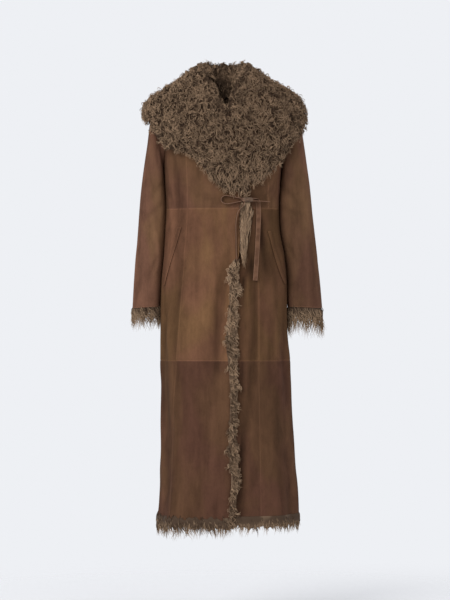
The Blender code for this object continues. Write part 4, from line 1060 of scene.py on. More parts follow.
def add_wool(name, clumps, growth, look, dice, base=None, base_along=BASE_ALONG, base_tint=BASE_TINT):
    """A piece of wool: every strand is a closed three-sided tube that thins towards its tip.

    Its radius at s from root to tip is radius * (0.8 + 0.5 sin(1.5 pi s)) * (1 - 0.88 s^2.2). base holds the
    outer and inner grids of the dense wool that the strands stand out of, if there is any.
    """
    lines, side, tint, thick = strand_lines(clumps, growth, dice)
    count = len(lines)
    along = unit(np.gradient(lines, axis=1))
    first = unit(side[:, None] - along * (side[:, None] * along).sum(-1, keepdims=True))
    second = np.cross(along, first)
    s = np.linspace(0, 1, STRAND_STEPS)[None, :, None, None]
    radius = growth.radius * thick[:, None, None, None] * (0.75 + 0.5 * dice.random((count, 1, 1, 1)))
    radius = radius * (0.8 + 0.5 * np.sin(math.pi * np.minimum(1, 1.5 * s))) * (1 - 0.88 * s**2.2)
    corner = round_turn(STRAND_SIDES)[:, None]
    around = first[:, :, None] * np.cos(corner) + second[:, :, None] * np.sin(corner)
    points = lines[:, :, None] + radius * around
    begin = np.arange(count)[:, None, None] * STRAND_STEPS * STRAND_SIDES
    walls, roots, tips = (begin + part for part in tube_faces(STRAND_STEPS, STRAND_SIDES))
    faces = [walls.reshape(-1, 4), np.concatenate([roots, tips]).reshape(-1, STRAND_SIDES)]
    shape = points.shape[:3]
    points = points.reshape(-1, 3)
    s, tint = over(s[..., 0], shape), over(tint[:, None, None], shape)
    if base is not None:
        dense, dense_faces, down = slab(*base)
        faces += [group + len(points) for group in dense_faces]
        points = np.concatenate([points, dense])
        s = np.concatenate([s, base_along[0] + (base_along[1] - base_along[0]) * down])
        tint = np.concatenate([tint, 0 * down + base_tint])
    return add_object(name, points, faces, [look], {"along": s, "tint": tint})


def turned(flow, side, angle):
    """The flow turned to the side by an angle for each place."""
    return flow * np.cos(angle)[:, None] + side * np.sin(angle)[:, None]


def swirls(place):
    """Angles that wander smoothly over the wool, as a sum of waves whose phase wanders too."""
    x, y, z = place.T
    one = np.sin(41 * x + 2.2 * np.sin(33 * z + 9 * y))
    other = np.sin(37 * z - 14 * y + 1.8 * np.sin(46 * x + 1.0))
    return SWIRL * (0.6 * one + 0.6 * other)


def add_collar_wool(name, points, look, seed):
    """The collar's curls on a stretch of its dome. They flow from the roll outwards and down in swirls.

    They are shorter and lower along the roll and the rim, on top and in the fold at the throat, and longer
    and straighter at the collar's low point in front. They carry painted shade behind the neck, in the fold
    at the throat and towards the wearer's left.
    """
    dice = np.random.default_rng(seed)
    weight = 1 - BACK_SPARSE * ease(points[:-1, :-1, 1], *BACK_STARTS)
    count = round((cell_areas(points) * weight).sum() / COLLAR_CLUMP_AREA)
    ground = scatter(points, count, dice, weight=weight)
    x, y, z = ground.place.T
    share = ground.share
    thicks = 1 + BACK_SPARSE * ease(y, *BACK_STARTS)
    low_point = ease(z, -0.2, -0.3) * ease(y, -0.04, -0.09)
    at_roll = ease(share, 0.1, 0.01)
    angle = swirls(ground.place) + dice.normal(0, COLLAR_WOOL.stray, count) * (1 + 1.6 * at_roll)
    flow = turned(ground.down, ground.side, angle * (1 - 0.75 * low_point))
    border = np.minimum(ease(share, -0.12, 0.08), ease(1 - share, -0.05, 0.22))
    behind = ease(y, 0.0, 0.04) * ease(share, 0.25, 0.05)
    in_fold = bell(x - FOLD_X, FOLD_WIDE) * ease(-np.abs(z - FOLD_HEIGHT), *FOLD_REACH)
    at_top = ease(z, 0.035, 0.06)
    # Painted shade behind the neck, in the throat's fold and towards the wearer's left, away from the light.
    tints = LOW_TINT * low_point - BEHIND_SHADE * behind - FOLD_SHADE * in_fold
    tints = tints - 0.02 - 0.03 * ease(x, -0.1, 0.1)
    sizes = (0.72 + 0.28 * border) * (1 + 0.35 * low_point) * (1 - 0.25 * at_top) * (1 - 0.45 * in_fold)
    lifts = (0.35 + 0.65 * border) * (1 - 0.45 * at_top) * (1 - 0.7 * in_fold)
    curls = 1 - 0.3 * low_point
    clumps = clumps_on(ground, flow, COLLAR_WOOL, dice, sizes * thicks**0.5, lifts, curls, tints, thicks)
    return add_wool(name, clumps, COLLAR_WOOL, look, dice)


def roll_strip(bearing, roll):
    """The inner side of the collar's roll, from the roll inwards and down."""
    edge = dome_point(bearing, smooth(bearing, roll, "height"))
    reach = edge * np.array([ROLL_IN, ROLL_IN, 0]) + np.array([0, 0, ROLL_DROP])
    return edge - reach * np.linspace(0, 1, 5)[:, None, None]


def add_roll_wool(name, strips, look, seed):
    """Short wool along the collar's roll, in all ways, and shorter still where both halves meet."""
    dice = np.random.default_rng(seed)
    parts = []
    for strip in strips:
        count = round(run_along(strip, 1)[0, -1] / ROLL_CLUMP_RUN)
        ground = scatter(strip, count, dice, outward=-1)
        flow = turned(-ground.down, ground.side, dice.normal(0, ROLL_WOOL.stray, count))
        in_fold = ease(ground.place[:, 2], -0.03, -0.06)
        # Painted shade behind the neck and where both halves of the collar meet.
        tints = ROLL_TINT - BEHIND_SHADE * (ease(ground.place[:, 1], 0.0, 0.04) + in_fold)
        sizes, lifts = 1 - 0.4 * in_fold, 1 - 0.5 * in_fold
        parts.append(clumps_on(ground, flow, ROLL_WOOL, dice, sizes, lifts, tints=tints))
    return add_wool(name, joined(parts), ROLL_WOOL, look, dice)


def add_neck_wool(name, stretches, look, seed):
    """Wool inside the neck, on the stand and on the inner side of the back below it. It hangs down."""
    dice = np.random.default_rng(seed)
    parts = []
    for points, count in stretches:
        ground = scatter(points, count, dice, outward=-1)
        way = ground.down * -np.sign(ground.down[:, 2:3])
        flow = turned(way, ground.side, dice.normal(0, NECK_WOOL.stray, count))
        parts.append(clumps_on(ground, flow, NECK_WOOL, dice, tints=NECK_TINT))
    return add_wool(name, joined(parts), NECK_WOOL, look, dice)


def add_fringe(name, strip, base, count, growth, hang, look, seed):
    """Locks that hang from a strip round an open edge, in front of the dense wool between base's two grids.

    A lock leans out by hang.flare times a random factor for each unit down. Locks on a sleeve's inner side,
    which face the body, lean the other way.
    """
    dice = np.random.default_rng(seed)
    ground = scatter(strip, count, dice)
    beside_body = ease(-ground.out[:, :1] * np.sign(ground.place[:, :1]), 0.2, 0.8)
    lean = spread(dice, FRINGE_LEAN, count)[:, None] * hang.flare * (1 - 1.2 * beside_body)
    flow = np.array([0, 0, -1.0]) + ground.out * lean
    flow = flow + ground.side * dice.normal(0, growth.stray, (count, 1))
    tints = dice.normal(hang.tint, FRINGE_TINTS, count)
    clumps = clumps_on(ground, unit(flow), growth, dice, hang.sizes, hang.lifts, hang.curls, tints)
    return add_wool(name, clumps, growth, look, dice, base, BASE_ALONG, BASE_TINT + hang.tint / 2)


# --- Lace and knot ---
def lace_line(route, step):
    """The lace's middle line and its flat direction, along a cubic between each two of the route's turns.

    The slope at a turn is the mean of the slopes on both sides, and the shorter side counts for more.
    """
    places = np.array([[turn.x, turn.y, turn.height] for turn in route])
    run = run_along(places, 0)
    gaps = np.diff(run)[:, None]
    slopes = np.diff(places, axis=0) / gaps
    middle = (slopes[:-1] * gaps[1:] + slopes[1:] * gaps[:-1]) / (gaps[:-1] + gaps[1:])
    ways = np.concatenate([slopes[:1], middle, slopes[-1:]])
    at = np.linspace(0, run[-1], max(2, round(run[-1] / step)))
    i = np.clip(np.searchsorted(run, at, side="right") - 1, 0, len(run) - 2)
    t = ((at - run[i]) / gaps[i, 0])[:, None]
    line = cubic(t, places[i], places[i + 1], ways[i] * gaps[i], ways[i + 1] * gaps[i])
    flat = smooth_through(at, run, np.radians([turn.flat for turn in route]))
    return line, np.stack([np.cos(flat), -np.sin(flat), 0 * flat], -1)


def rounded(value, power):
    """The value's size to a power, with its own sign. A power below 1 fills out a circle's corners."""
    return np.sign(value) * np.abs(value) ** power


def add_lace(name, route, look):
    """A flat lace: a rounded strip's section carried along the line, with its two ends closed."""
    line, across = lace_line(route, LACE_STEP)
    along = unit(np.gradient(line, axis=0))
    across = unit(across - along * (across * along).sum(-1, keepdims=True))
    thick = np.cross(along, across)
    turn = round_turn(LACE_SIDES)
    wide = rounded(np.cos(turn), 0.55) * LACE_WIDTH / 2
    deep = rounded(np.sin(turn), 0.7) * LACE_THICKNESS / 2
    curl = LACE_CURL * np.sin(run_along(line, 0)[:, None] * 37 + 1)
    section = across[:, None] * wide[None, :, None] + thick[:, None] * (deep + curl * np.abs(wide))[..., None]
    points = line[:, None] + section
    shape = points.shape[:2]
    # Painted shade: the faces are darkened where the lace stands edge-on to the front.
    on_edge = ease(np.abs(across[:, 1]), 0.75, 0.97)[:, None]
    attributes = {"edge": over(np.abs(wide), shape), "shade": over(on_edge, shape)}
    return add_object(name, points.reshape(-1, 3), tube_faces(*shape), [look], attributes), line


def add_knot(name, look):
    """The knot's wrap: a flattened super-ellipsoid with two grooves where the lace's turns lie side by side.

    Each of its three sizes is the power of a sine or cosine, and a groove is a bell curve across a slant.
    """
    rows, columns = KNOT_GRID
    level = np.linspace(-math.pi / 2, math.pi / 2, rows)[1:-1, None]
    turn = round_turn(columns)[None, :]
    x = rounded(np.cos(level), KNOT_POWER) * rounded(np.cos(turn), KNOT_POWER)
    y = rounded(np.cos(level), KNOT_POWER) * rounded(np.sin(turn), KNOT_POWER)
    z = rounded(np.sin(level), KNOT_POWER) + 0 * turn
    slant = z + 0.35 * x
    groove = 1 - 0.16 * bell(slant - 0.25, 0.16) - 0.12 * bell(slant + 0.55, 0.13)
    size = np.array(KNOT_SIZE) / 2
    points = np.stack([x, y * groove, z], -1) * size + np.array(KNOT_CENTRE)
    poles = np.array([[0, 0, -size[2]], [0, 0, size[2]]]) + np.array(KNOT_CENTRE)
    count = (rows - 2) * columns
    i = np.arange(columns)
    k = (i + 1) % columns
    bottom = np.stack([np.full(columns, count), k, i], -1)
    top = np.stack([np.full(columns, count + 1), count - columns + i, count - columns + k], -1)
    everything = np.concatenate([points.reshape(-1, 3), poles])
    none = np.zeros(len(everything))
    faces = [grid_faces(rows - 2, columns, True), bottom, top]
    return add_object(name, everything, faces, [look], {"edge": none, "shade": none})


# --- Strips that wool grows from, welts, light ---
def grid_normals(points):
    """Unit vectors out of a grid whose columns go round with the bearing and whose rows go down or up.

    They are the cross product of the ways along a row and along a column, turned to look away from the axis.
    """
    across, up = np.gradient(points, axis=1), np.gradient(points, axis=0)
    normal = unit(np.cross(across, up))
    away = (normal[..., :2] * points[..., :2]).sum(-1) + 0.05 * normal[..., 2]
    return normal * np.where(away < 0, -1, 1)[..., None]


def cuff_strip(ring):
    """The strip inside a sleeve's last rows that its locks grow from, and both faces of its dense wool.

    Both are the sleeve's rings, drawn in towards their middle.
    """
    run = run_along(ring, 0)[:, 0]
    low = ring[run > run[-1] - CUFF_ROWS]
    middle = low[:, :-1].mean(1, keepdims=True)
    around = low - middle
    outside = ease(unit(around)[..., :1] * np.sign(middle[..., :1]), 0, 0.8)
    strip = middle + around * (1 - (CUFF_ROOTS_IN[0] + CUFF_ROOTS_IN[1] * outside) / SLEEVE_RADIUS)
    drop = np.linspace(*CUFF_DROP, 5)[:, None, None] * unit(middle[-1] - middle[0])
    return strip, [middle[-1] + around[-1] * (1 - inset / SLEEVE_RADIUS) + drop for inset in CUFF_BASE_IN]


def hem_strip(start, end, edge_x, is_right, height, lift):
    """A strip round the hem between two bearings, whose rows have those heights and lifts from the cloth.

    is_right is None on the back, which has no open edge.
    """
    bearing = np.linspace(start, end, HEM_COLUMNS)[None, :]
    height, lift = height + 0 * bearing, lift + 0 * bearing
    if is_right is not None:
        x = body_surface(bearing, height)[..., 0]
        lift = lift + front_lift(x, height, edge_x, is_right)
    return body_surface(bearing, height, lift + body_creases(bearing, height)[1])


def hem_base(start, end, edge_x, is_right):
    """The outer and inner face of the dense wool under the hem, with an uneven lower edge.

    Its rows' heights are those of HEM_BASE times a share that goes up and down in waves round the hem.
    """
    turn = np.radians(np.linspace(start, end, HEM_COLUMNS))[None, :]
    above, outer, inner = (np.array(column)[:, None] for column in zip(*HEM_BASE))
    wave = 0.2 * np.sin(23 * turn) + 0.15 * np.sin(57 * turn + 1)
    upper = 1.0 if is_right is False else HEM_BASE_TOP + wave
    lower = (HEM_BASE_LOW if is_right else 1.0) + 1.2 * wave + 0.16 * np.sin(113 * turn + 2)
    height = HEM_HEIGHT + above * np.where(above < 0, lower, upper)
    return [hem_strip(start, end, edge_x, is_right, height, lift) for lift in (outer, inner)]


def band_strip(table, pads, columns, raised=0.0):
    """A strip over the right front's edge, between a band's limits less the pads at its left and right.

    Its rows go across the band and its columns up it.
    """
    height = np.linspace(table[-1].height, table[0].height, columns)[None, :]
    left, right = smooth(height, table, "left") + pads[0], smooth(height, table, "right") - pads[1]
    x = left + (right - left) * np.linspace(0, 1, BAND_ROWS)[:, None]
    edge_x = smooth(height, RIGHT_EDGE, "x")
    past = ease(x, edge_x + BAND_STEP[0], edge_x + BAND_STEP[1])
    lift = front_lift(x, height, edge_x, True) * (1 - past) + BAND_SEAT * past
    return body_surface(bearing_at(x, height), height + 0 * x, lift + raised)


def ridge(table, pads, columns, ends=1.0):
    """Both faces of a low ridge of dense wool over a band, as high as the root of a sine across it."""
    share = np.linspace(0, 1, BAND_ROWS)[:, None]
    top = RIDGE_FOOT + RIDGE_HEIGHT * np.sin(math.pi * share) ** 0.5 * ends
    return [band_strip(table, pads, columns, raised)[:, ::-1] for raised in (top, -RIDGE_FOOT)]


def add_edge_wool(name, look, seed):
    """Curls along the right front's edge, on a low ridge of dense wool. They swing to both sides in waves."""
    dice = np.random.default_rng(seed)
    roots = band_strip(EDGE_BAND, EDGE_PADS, EDGE_COLUMNS, EDGE_LIFT)
    ground = scatter(roots, EDGE_WOOL.clumps, dice, outward=-1)
    height = ground.place[:, 2]
    swing = EDGE_SWING * np.sin(95 * height + 2.5 * np.sin(29 * height))[:, None] * np.array([1, 0, 0])
    way = np.array(EDGE_WAY) + swing + dice.normal(0, EDGE_STRAY, (len(height), 3))
    tints = EDGE_TINT_HIGH * ease(height, *EDGE_HIGH) + EDGE_TINT_LOW * ease(height, *EDGE_LOW)
    tints = tints + dice.normal(0, EDGE_TINTS, len(height))
    clumps = clumps_on(ground, unit(way), EDGE_WOOL, dice, tints=tints)
    share = np.linspace(0, 1, EDGE_BASE_COLUMNS)[None, :]
    ends = ease(share, 0, 0.02) * ease(1 - share, 0, 0.02)
    base = ridge(EDGE_BAND, EDGE_BASE_PADS, EDGE_BASE_COLUMNS, ends)
    return add_wool(name, clumps, EDGE_WOOL, look, dice, base, (0, 0.05))


def add_tongue(name, look, seed):
    """The straight long wool below the knot. It grows all over a band and draws together at its tip."""
    dice = np.random.default_rng(seed)
    ground = scatter(band_strip(TONGUE, (0, 0), TONGUE_COLUMNS), TONGUE_WOOL.clumps, dice, outward=-1)
    fall = ground.place[:, 2] - TONGUE_TIP[1]
    toward = (TONGUE_TIP[0] - ground.place[:, 0]) / np.maximum(fall, 0.03)
    toward = toward * (0.8 + 1.0 * ease(fall, 0.08, 0.15))
    way = np.stack([toward, 0 * toward, -np.ones(len(toward))], -1)
    way = unit(way + dice.normal(0, 0.05, way.shape))
    sizes = np.minimum(1, (fall + 0.006) / TONGUE_WOOL.length[1])
    clumps = clumps_on(ground, way, TONGUE_WOOL, dice, sizes, tints=TONGUE_TINT)
    base = ridge(TONGUE, TONGUE_BASE_PADS, TONGUE_COLUMNS)
    return add_wool(name, clumps, TONGUE_WOOL, look, dice, base, TONGUE_BASE_ALONG, TONGUE_BASE_TINT)


def welt_form(welt):
    """A pocket's welt: a strip over the mouth, whose section rises to a rounded lip along the outer side."""
    long_way = math.hypot(welt.bottom_x - welt.top_x, welt.bottom_height - welt.top_height)
    share = seam_shares(long_way)[:, None]
    height = welt.top_height + (welt.bottom_height - welt.top_height) * share
    x = welt.side * (welt.top_x + (welt.bottom_x - welt.top_x) * share)
    across = seam_shares(WELT_GIRTH)[None, :]
    lip = np.sin(math.pi * np.clip(across, 0.02, 0.98)) ** 0.5 * (1 - 0.5 * across)
    rise = WELT_RISE[0] + WELT_RISE[1] * lip
    rise = rise * (0.4 + 0.6 * ease(share, 0, 0.06) * ease(1 - share, 0, 0.06))
    bearing = bearing_at(x, height) - math.degrees(WELT_WIDTH / SEAM_RADIUS) * across * welt.side
    creases, soft = body_creases(bearing, height)
    points = body_surface(bearing, height + 0 * across, rise + soft)
    beside = np.minimum(across, 1 - across) * WELT_WIDTH + 0 * height
    above = np.minimum(share, 1 - share) * abs(welt.bottom_height - welt.top_height) + 0 * across
    seams = np.stack([beside, above, across * WELT_WIDTH + 0 * height], -1)
    # Painted highlight along the right welt's lip, painted shadow in the left one's mouth and on its inner
    # side.
    mouth, inner_side = ease(across, 0.22, 0.04), ease(across, 0.8, 0.97)
    if welt.side < 0:
        marks = {"seam": seams, "worn": wear(creases) + RIGHT_WELT + RIGHT_LIP_HIGHLIGHT * mouth * share}
        marks, points = mirrored(marks, points)
        return points, marks
    tone = LEFT_WELT + LEFT_MOUTH_SHADOW * mouth + LEFT_INNER_SHADE * inner_side
    return points, {"seam": seams, "worn": wear(creases) + tone}


def add_light(lamp, power):
    """A soft square light at the lamp's place that looks at its target."""
    light = bpy.data.lights.new(lamp.name, "AREA")
    light.size = lamp.size
    light.energy = power
    holder = linked(lamp.name, light)
    way = np.array(lamp.target, float) - np.array(lamp.place, float)
    level = math.hypot(way[0], way[1])
    holder.location = lamp.place
    holder.rotation_euler = (math.atan2(level, -way[2]), 0, math.atan2(-way[0], way[1]))


# --- Looks ---
def node_of(operation, reflected=False):
    """A method of Link that adds the operation's node. Reflected, the socket comes second, as in 1 - mask."""

    def method(self, other):
        parts = (other, self) if reflected else (self, other)
        wide = any(isinstance(part, Link) and part.socket.type in ("VECTOR", "RGBA") for part in parts)
        kind = "VectorMath" if wide else "Math"
        return self.look.node(kind, dict(enumerate(parts)), operation=operation)

    return method


class Link:
    """A socket to do sums with. An operator adds a Math node, or Vector Math for colours and vectors."""

    def __init__(self, look, socket):
        self.look = look
        self.socket = socket

    __add__, __radd__ = node_of("ADD"), node_of("ADD", True)
    __sub__, __rsub__ = node_of("SUBTRACT"), node_of("SUBTRACT", True)
    __mul__, __rmul__ = node_of("MULTIPLY"), node_of("MULTIPLY", True)


class Look:
    """A material and the nodes that it is made of."""

    def __init__(self, name):
        self.material = bpy.data.materials.new(name)
        self.material.use_nodes = True
        self.tree = self.material.node_tree
        self.shader = self.tree.nodes["Principled BSDF"]

    def feed(self, socket, value):
        if isinstance(value, Link):
            self.tree.links.new(value.socket, socket)
        elif socket.type == "RGBA" and len(value) == 3:
            socket.default_value = (*value, 1)
        elif socket.type == "VECTOR" and isinstance(value, (int, float)):
            socket.default_value = (value,) * 3
        else:
            socket.default_value = value

    def node(self, kind, values=None, output=0, **settings):
        """A node of a kind, with its settings and its sockets' values or links."""
        made = self.tree.nodes.new("ShaderNode" + kind)
        for key, value in settings.items():
            setattr(made, key, value)
        for key, value in (values or {}).items():
            self.feed(made.inputs[key], value)
        return Link(self, made.outputs[output])

    def maths(self, operation, *values):
        """A Math node for an operation that Python has no sign for."""
        return self.node("Math", dict(enumerate(values)), operation=operation)

    def place(self):
        return self.node("TexCoord", output="Object")

    def attribute(self, name, output="Fac"):
        return self.node("Attribute", output=output, attribute_name=name)

    def noise(self, vector, scale, detail=3.0, distortion=0.0):
        values = {"Vector": vector, "Scale": scale, "Detail": detail, "Distortion": distortion}
        return self.node("TexNoise", values)

    def step(self, value, start, end):
        """0 before start, 1 after end, smooth between them. start may be the larger one."""
        low, high, first, last = (start, end, 0.0, 1.0) if start < end else (end, start, 1.0, 0.0)
        values = {"Value": value, "From Min": low, "From Max": high, "To Min": first, "To Max": last}
        return self.node("MapRange", values, interpolation_type="SMOOTHSTEP")

    def mix(self, factor, first, second):
        return self.node("Mix", {"Factor": factor, 6: first, 7: second}, output=2, data_type="RGBA")

    def finish(self, colour, roughness, height=None, distance=0.001, strength=1.0, specular=0.3):
        """Feeds the shader, and sets sockets that are the same all over. Returns the material."""
        self.feed(self.shader.inputs["Base Color"], colour)
        self.feed(self.shader.inputs["Roughness"], roughness)
        if height is not None:
            bump = {"Strength": strength, "Distance": distance, "Height": height}
            self.feed(self.shader.inputs["Normal"], self.node("Bump", bump))
        self.shader.inputs["Specular IOR Level"].default_value = specular
        return self.material


def scaled(colour, *factors):
    """The colour times one factor, or times a factor each for red, green and blue."""
    return tuple(part * factor for part, factor in zip(colour, factors * (3 // len(factors))))


def suede_look(name, colour, settings, shift=(0.0, 0.0, 0.0)):
    """Brushed suede: soft yellow and rosy patches, drag marks down the skin, ridges rubbed paler, painted
    shade in the troughs and where the pieces mark it, painted light where they mark that, and pale rubbed
    seams with a row of stitches beside them. shift moves the patches."""
    look = Look(name)
    place = look.place()
    patches = look.noise(place * (1.0, 1.0, 0.5) + shift, 9.0, 3.0, 0.4)
    streaks = look.noise(place * (1.0, 1.0, 0.09), 26.0, 3.0)
    blotches = look.noise(place * (1.0, 1.0, 0.55), 34.0, 5.0, 0.5)
    drags = look.noise(place * (1.0, 1.0, 0.14), 110.0, 3.0)
    scuffs = look.noise(place * (1.0, 1.0, 0.5), 190.0, 4.0)
    nap = look.noise(place, 700.0, 3.0)
    rosy, yellow = scaled(colour, 1.01, 0.945, 1.01), scaled(colour, 1.01, 1.045, 0.93)
    tone = look.mix(look.step(patches, 0.36, 0.64), rosy, yellow)
    uneven = (patches - 0.5) * 0.5 + (streaks - 0.5) * 1.4 + (blotches - 0.5) + (drags + scuffs - 1.0) * 0.4
    light = 1.0 + uneven * settings.mottle * 2.0 + (nap - 0.5) * 0.5
    worn = look.attribute("worn")
    seam = look.node("SeparateXYZ", {0: look.attribute("seam", "Vector")})
    beside, above, across = (Link(look, socket) for socket in seam.socket.node.outputs)
    rubbed = look.step(look.maths("MINIMUM", beside, above), 0.003, 0.0008) * settings.seam_wear
    height_along = look.node("SeparateXYZ", {0: place}, output=2)
    down_rows, level_rows = stitch_row(look, beside, height_along), stitch_row(look, above, across)
    thread = look.maths("MAXIMUM", down_rows, level_rows)
    # The wear mark brings rubbed wear together with painted shade and painted light.
    tone = tone * (light * (1.0 + worn) + rubbed)
    tone = look.mix(thread * 0.5, tone, scaled(colour, 1.5))
    height = nap * 0.5 + scuffs * 0.6 + blotches * 0.5 - thread * 0.8
    return look.finish(tone, 0.92, height, distance=0.0007, strength=0.8, specular=0.05)


def stitch_row(look, off, along):
    """1 on the stitches of a row that runs beside a seam: short dashes along the row's line, else 0."""
    line = look.step(look.maths("ABSOLUTE", off - STITCH_OFF), 0.0005, 0.0002)
    return line * look.step(look.maths("SINE", along * (2 * math.pi / STITCH_LENGTH)), -0.5, -0.2)


def wool_look(name, root, tip, settings):
    """A lock of wool: dark at its root and light at its tip, with thin streaks along it."""
    look = Look(name)
    place = look.place()
    along, tint = look.attribute("along"), look.attribute("tint")
    streak = look.noise(place, 420.0, 2.0)
    patch = look.noise(place, 16.0, 2.0)
    light = tuple(min(1.0, part) for part in scaled(tip, 1.55))
    tone = look.mix(look.step(along + (tint - 0.5) * 0.5, 0.0, 0.7), root, tip)
    tipped = look.step(tint, 0.55, 1.0) * look.step(along, 0.35, 1.0)
    tone = look.mix(tipped * settings.tip_light, tone, light)
    tone = look.mix(look.step(streak, 0.52, 0.3) * 0.3, tone, root)
    # Low tints, some of which carry the collar's painted shade, darken towards the root's colour.
    tone = look.mix(look.step(tint, 0.3, 0.0) * 0.6, tone, root)
    tone = look.mix(look.step(patch, 0.55, 0.75) * 0.25, tone, light)
    return look.finish(tone, 0.72, streak, distance=0.0006, strength=0.6, specular=0.12)


def deep_wool_look(name, settings):
    """The darker wool at the hem and cuffs."""
    root, tip = scaled(settings.trim_root, DEEP_ROOT), scaled(settings.trim_tip, DEEP_TIP)
    return wool_look(name, root, tip, settings)


def clipped_wool_look(name, colour):
    """Short clipped wool, as it lies under the long locks and all over the coat's inside."""
    look = Look(name)
    place = look.place()
    curls = look.node("TexVoronoi", {"Vector": place, "Scale": 170.0, "Randomness": 1.0})
    fluff = look.noise(place, 90.0, 4.0, 1.5)
    tone = look.mix(look.step(fluff, 0.35, 0.65), scaled(colour, 0.5), scaled(colour, 1.4))
    tone = look.mix(look.step(curls, 0.2, 0.7) * 0.5, tone, scaled(colour, 0.4))
    return look.finish(tone, 0.95, fluff - curls * 0.5, distance=0.003, specular=0.05)


def lace_look(name, colour):
    """Cut suede lace: painted shade on its faces where it stands edge-on, a painted highlight on its edges,
    and a fine nap.
    """
    look = Look(name)
    place = look.place()
    nap, patch = look.noise(place, 520.0, 3.0), look.noise(place, 60.0, 3.0)
    tone = look.mix(look.step(patch, 0.35, 0.7), scaled(colour, 0.78, 0.76, 0.76), scaled(colour, 1.2))
    # Painted shade on the faces where the lace stands edge-on.
    tone = look.mix(look.attribute("shade") * 0.55, tone, scaled(colour, 0.25))
    # Painted highlight along the edges.
    edge = look.step(look.attribute("edge"), 0.0045, 0.0064)
    tone = look.mix(edge * 0.85, tone, scaled(colour, 2.2, 2.4, 2.7))
    return look.finish(tone, 0.9, nap, distance=0.0005, specular=0.08)


def floor_look(name, colour):
    """Matt studio floor with a barely seen unevenness, that fades out round the coat."""
    look = Look(name)
    place = look.place()
    tone = look.mix(look.noise(place, 1.5, 2.0), scaled(colour, 0.985), colour)
    away = look.node("VectorMath", {0: place * (1.0, 1.0, 0.0)}, output=1, operation="LENGTH")
    look.feed(look.shader.inputs["Alpha"], look.step(away, FLOOR_FADE[1], FLOOR_FADE[0]))
    return look.finish(tone, 0.9, specular=0.1)


# --- Settings ---
def colour_setting(name, default, about):
    return bpy.props.FloatVectorProperty(
        name=name, default=default, description=about, min=0.0, max=1.0, subtype="COLOR"
    )


def number_setting(name, default, about, **limits):
    return bpy.props.FloatProperty(name=name, default=default, description=about, **limits)


def share_setting(name, default, about):
    return number_setting(name, default, about, min=0.0, max=1.0, subtype="FACTOR")


class CoatSuedeSettings(bpy.types.PropertyGroup):
    """Colours and wear of the suede."""

    bodice: colour_setting("Bodice", (0.0955, 0.0476, 0.0273), "Suede above the waist seam")
    skirt: colour_setting("Skirt", (0.1021, 0.0509, 0.027), "Suede from the waist seam to the knee seam")
    lower: colour_setting("Lower", (0.0672, 0.0326, 0.0193), "Suede below the knee seam")
    sleeves: colour_setting("Sleeves", (0.1181, 0.0603, 0.0354), "The sleeves' suede")
    lace: colour_setting("Lace", (0.101, 0.0515, 0.03), "The waist lace")
    mottle: share_setting("Mottle", 0.34, "How strongly the suede is mottled")
    seam_wear: share_setting("Seam wear", 0.36, "How pale the suede is rubbed beside its seams")


class CoatWoolSettings(bpy.types.PropertyGroup):
    """Colours of the wool."""

    root: colour_setting("Root", (0.0741, 0.046, 0.0281), "The locks' roots")
    trim_root: colour_setting("Trim root", (0.086, 0.052, 0.0315), "Roots at the cuffs, hem and edge")
    tip: colour_setting("Tip", (0.3152, 0.2073, 0.1278), "The locks' tips")
    trim_tip: colour_setting("Trim tip", (0.37, 0.248, 0.155), "Tips at the cuffs, hem and edge")
    inside: colour_setting("Inside", (0.054, 0.0336, 0.0216), "The clipped wool inside")
    tip_light: share_setting("Tip light", 0.55, "How much paler some locks are at their tips")


class CoatStageSettings(bpy.types.PropertyGroup):
    """Light, floor and background."""

    background: colour_setting("Background", (0.855, 0.871, 0.905), "The studio's background")
    floor: colour_setting("Floor", (0.79, 0.79, 0.8), "The floor")
    floor_height: number_setting("Floor height", -1.62, "Height of the floor under the coat", unit="LENGTH")
    key_power: number_setting("Key light", 700.0, "Power of the main light, in watts", min=0.0)
    fill_power: number_setting("Fill light", 30.0, "Power of the other light, in watts", min=0.0)


# --- Operators ---
class COAT_OT_panels(bpy.types.Operator):
    """Make the suede panels of the bodice, the skirt and the lower tier"""

    bl_idname = "coat.panels"
    bl_label = "Panels"

    def execute(self, context):
        suede = context.scene.coat_suede
        inside = clipped_wool_look("clipped_wool", context.scene.coat_wool.inside)
        tiers = {"bodice": BODICE, "skirt": SKIRT, "lower": LOWER}
        for tier_name, tier in tiers.items():
            look = suede_look(f"suede_{tier_name}", getattr(suede, tier_name), suede)
            left_princess = LEFT_PRINCESS_BODICE if tier is BODICE else LEFT_PRINCESS_SKIRT
            lines = {
                "right_side": (-90, RIGHT_PRINCESS),
                "right_front": (RIGHT_PRINCESS, RIGHT_EDGE),
                "left_front": (LEFT_EDGE, left_princess),
                "left_side": (left_princess, 90),
            }
            pieces = {side: front_panel(side, tier, *limits) for side, limits in lines.items()}
            pieces["back"] = back_panel(tier)
            for side, (points, flat, marks) in pieces.items():
                node = f"{side}_{tier_name}"
                marks["worn"] = marks["worn"] + PANEL_TONES.get(node, 0.0)
                obj = add_shell(f"{node}_suede", points, [look, inside], SKIN_WALL, -1, attributes=marks)
                settle(obj, "suede_deep" if tier is LOWER else "suede", node)
        return {"FINISHED"}


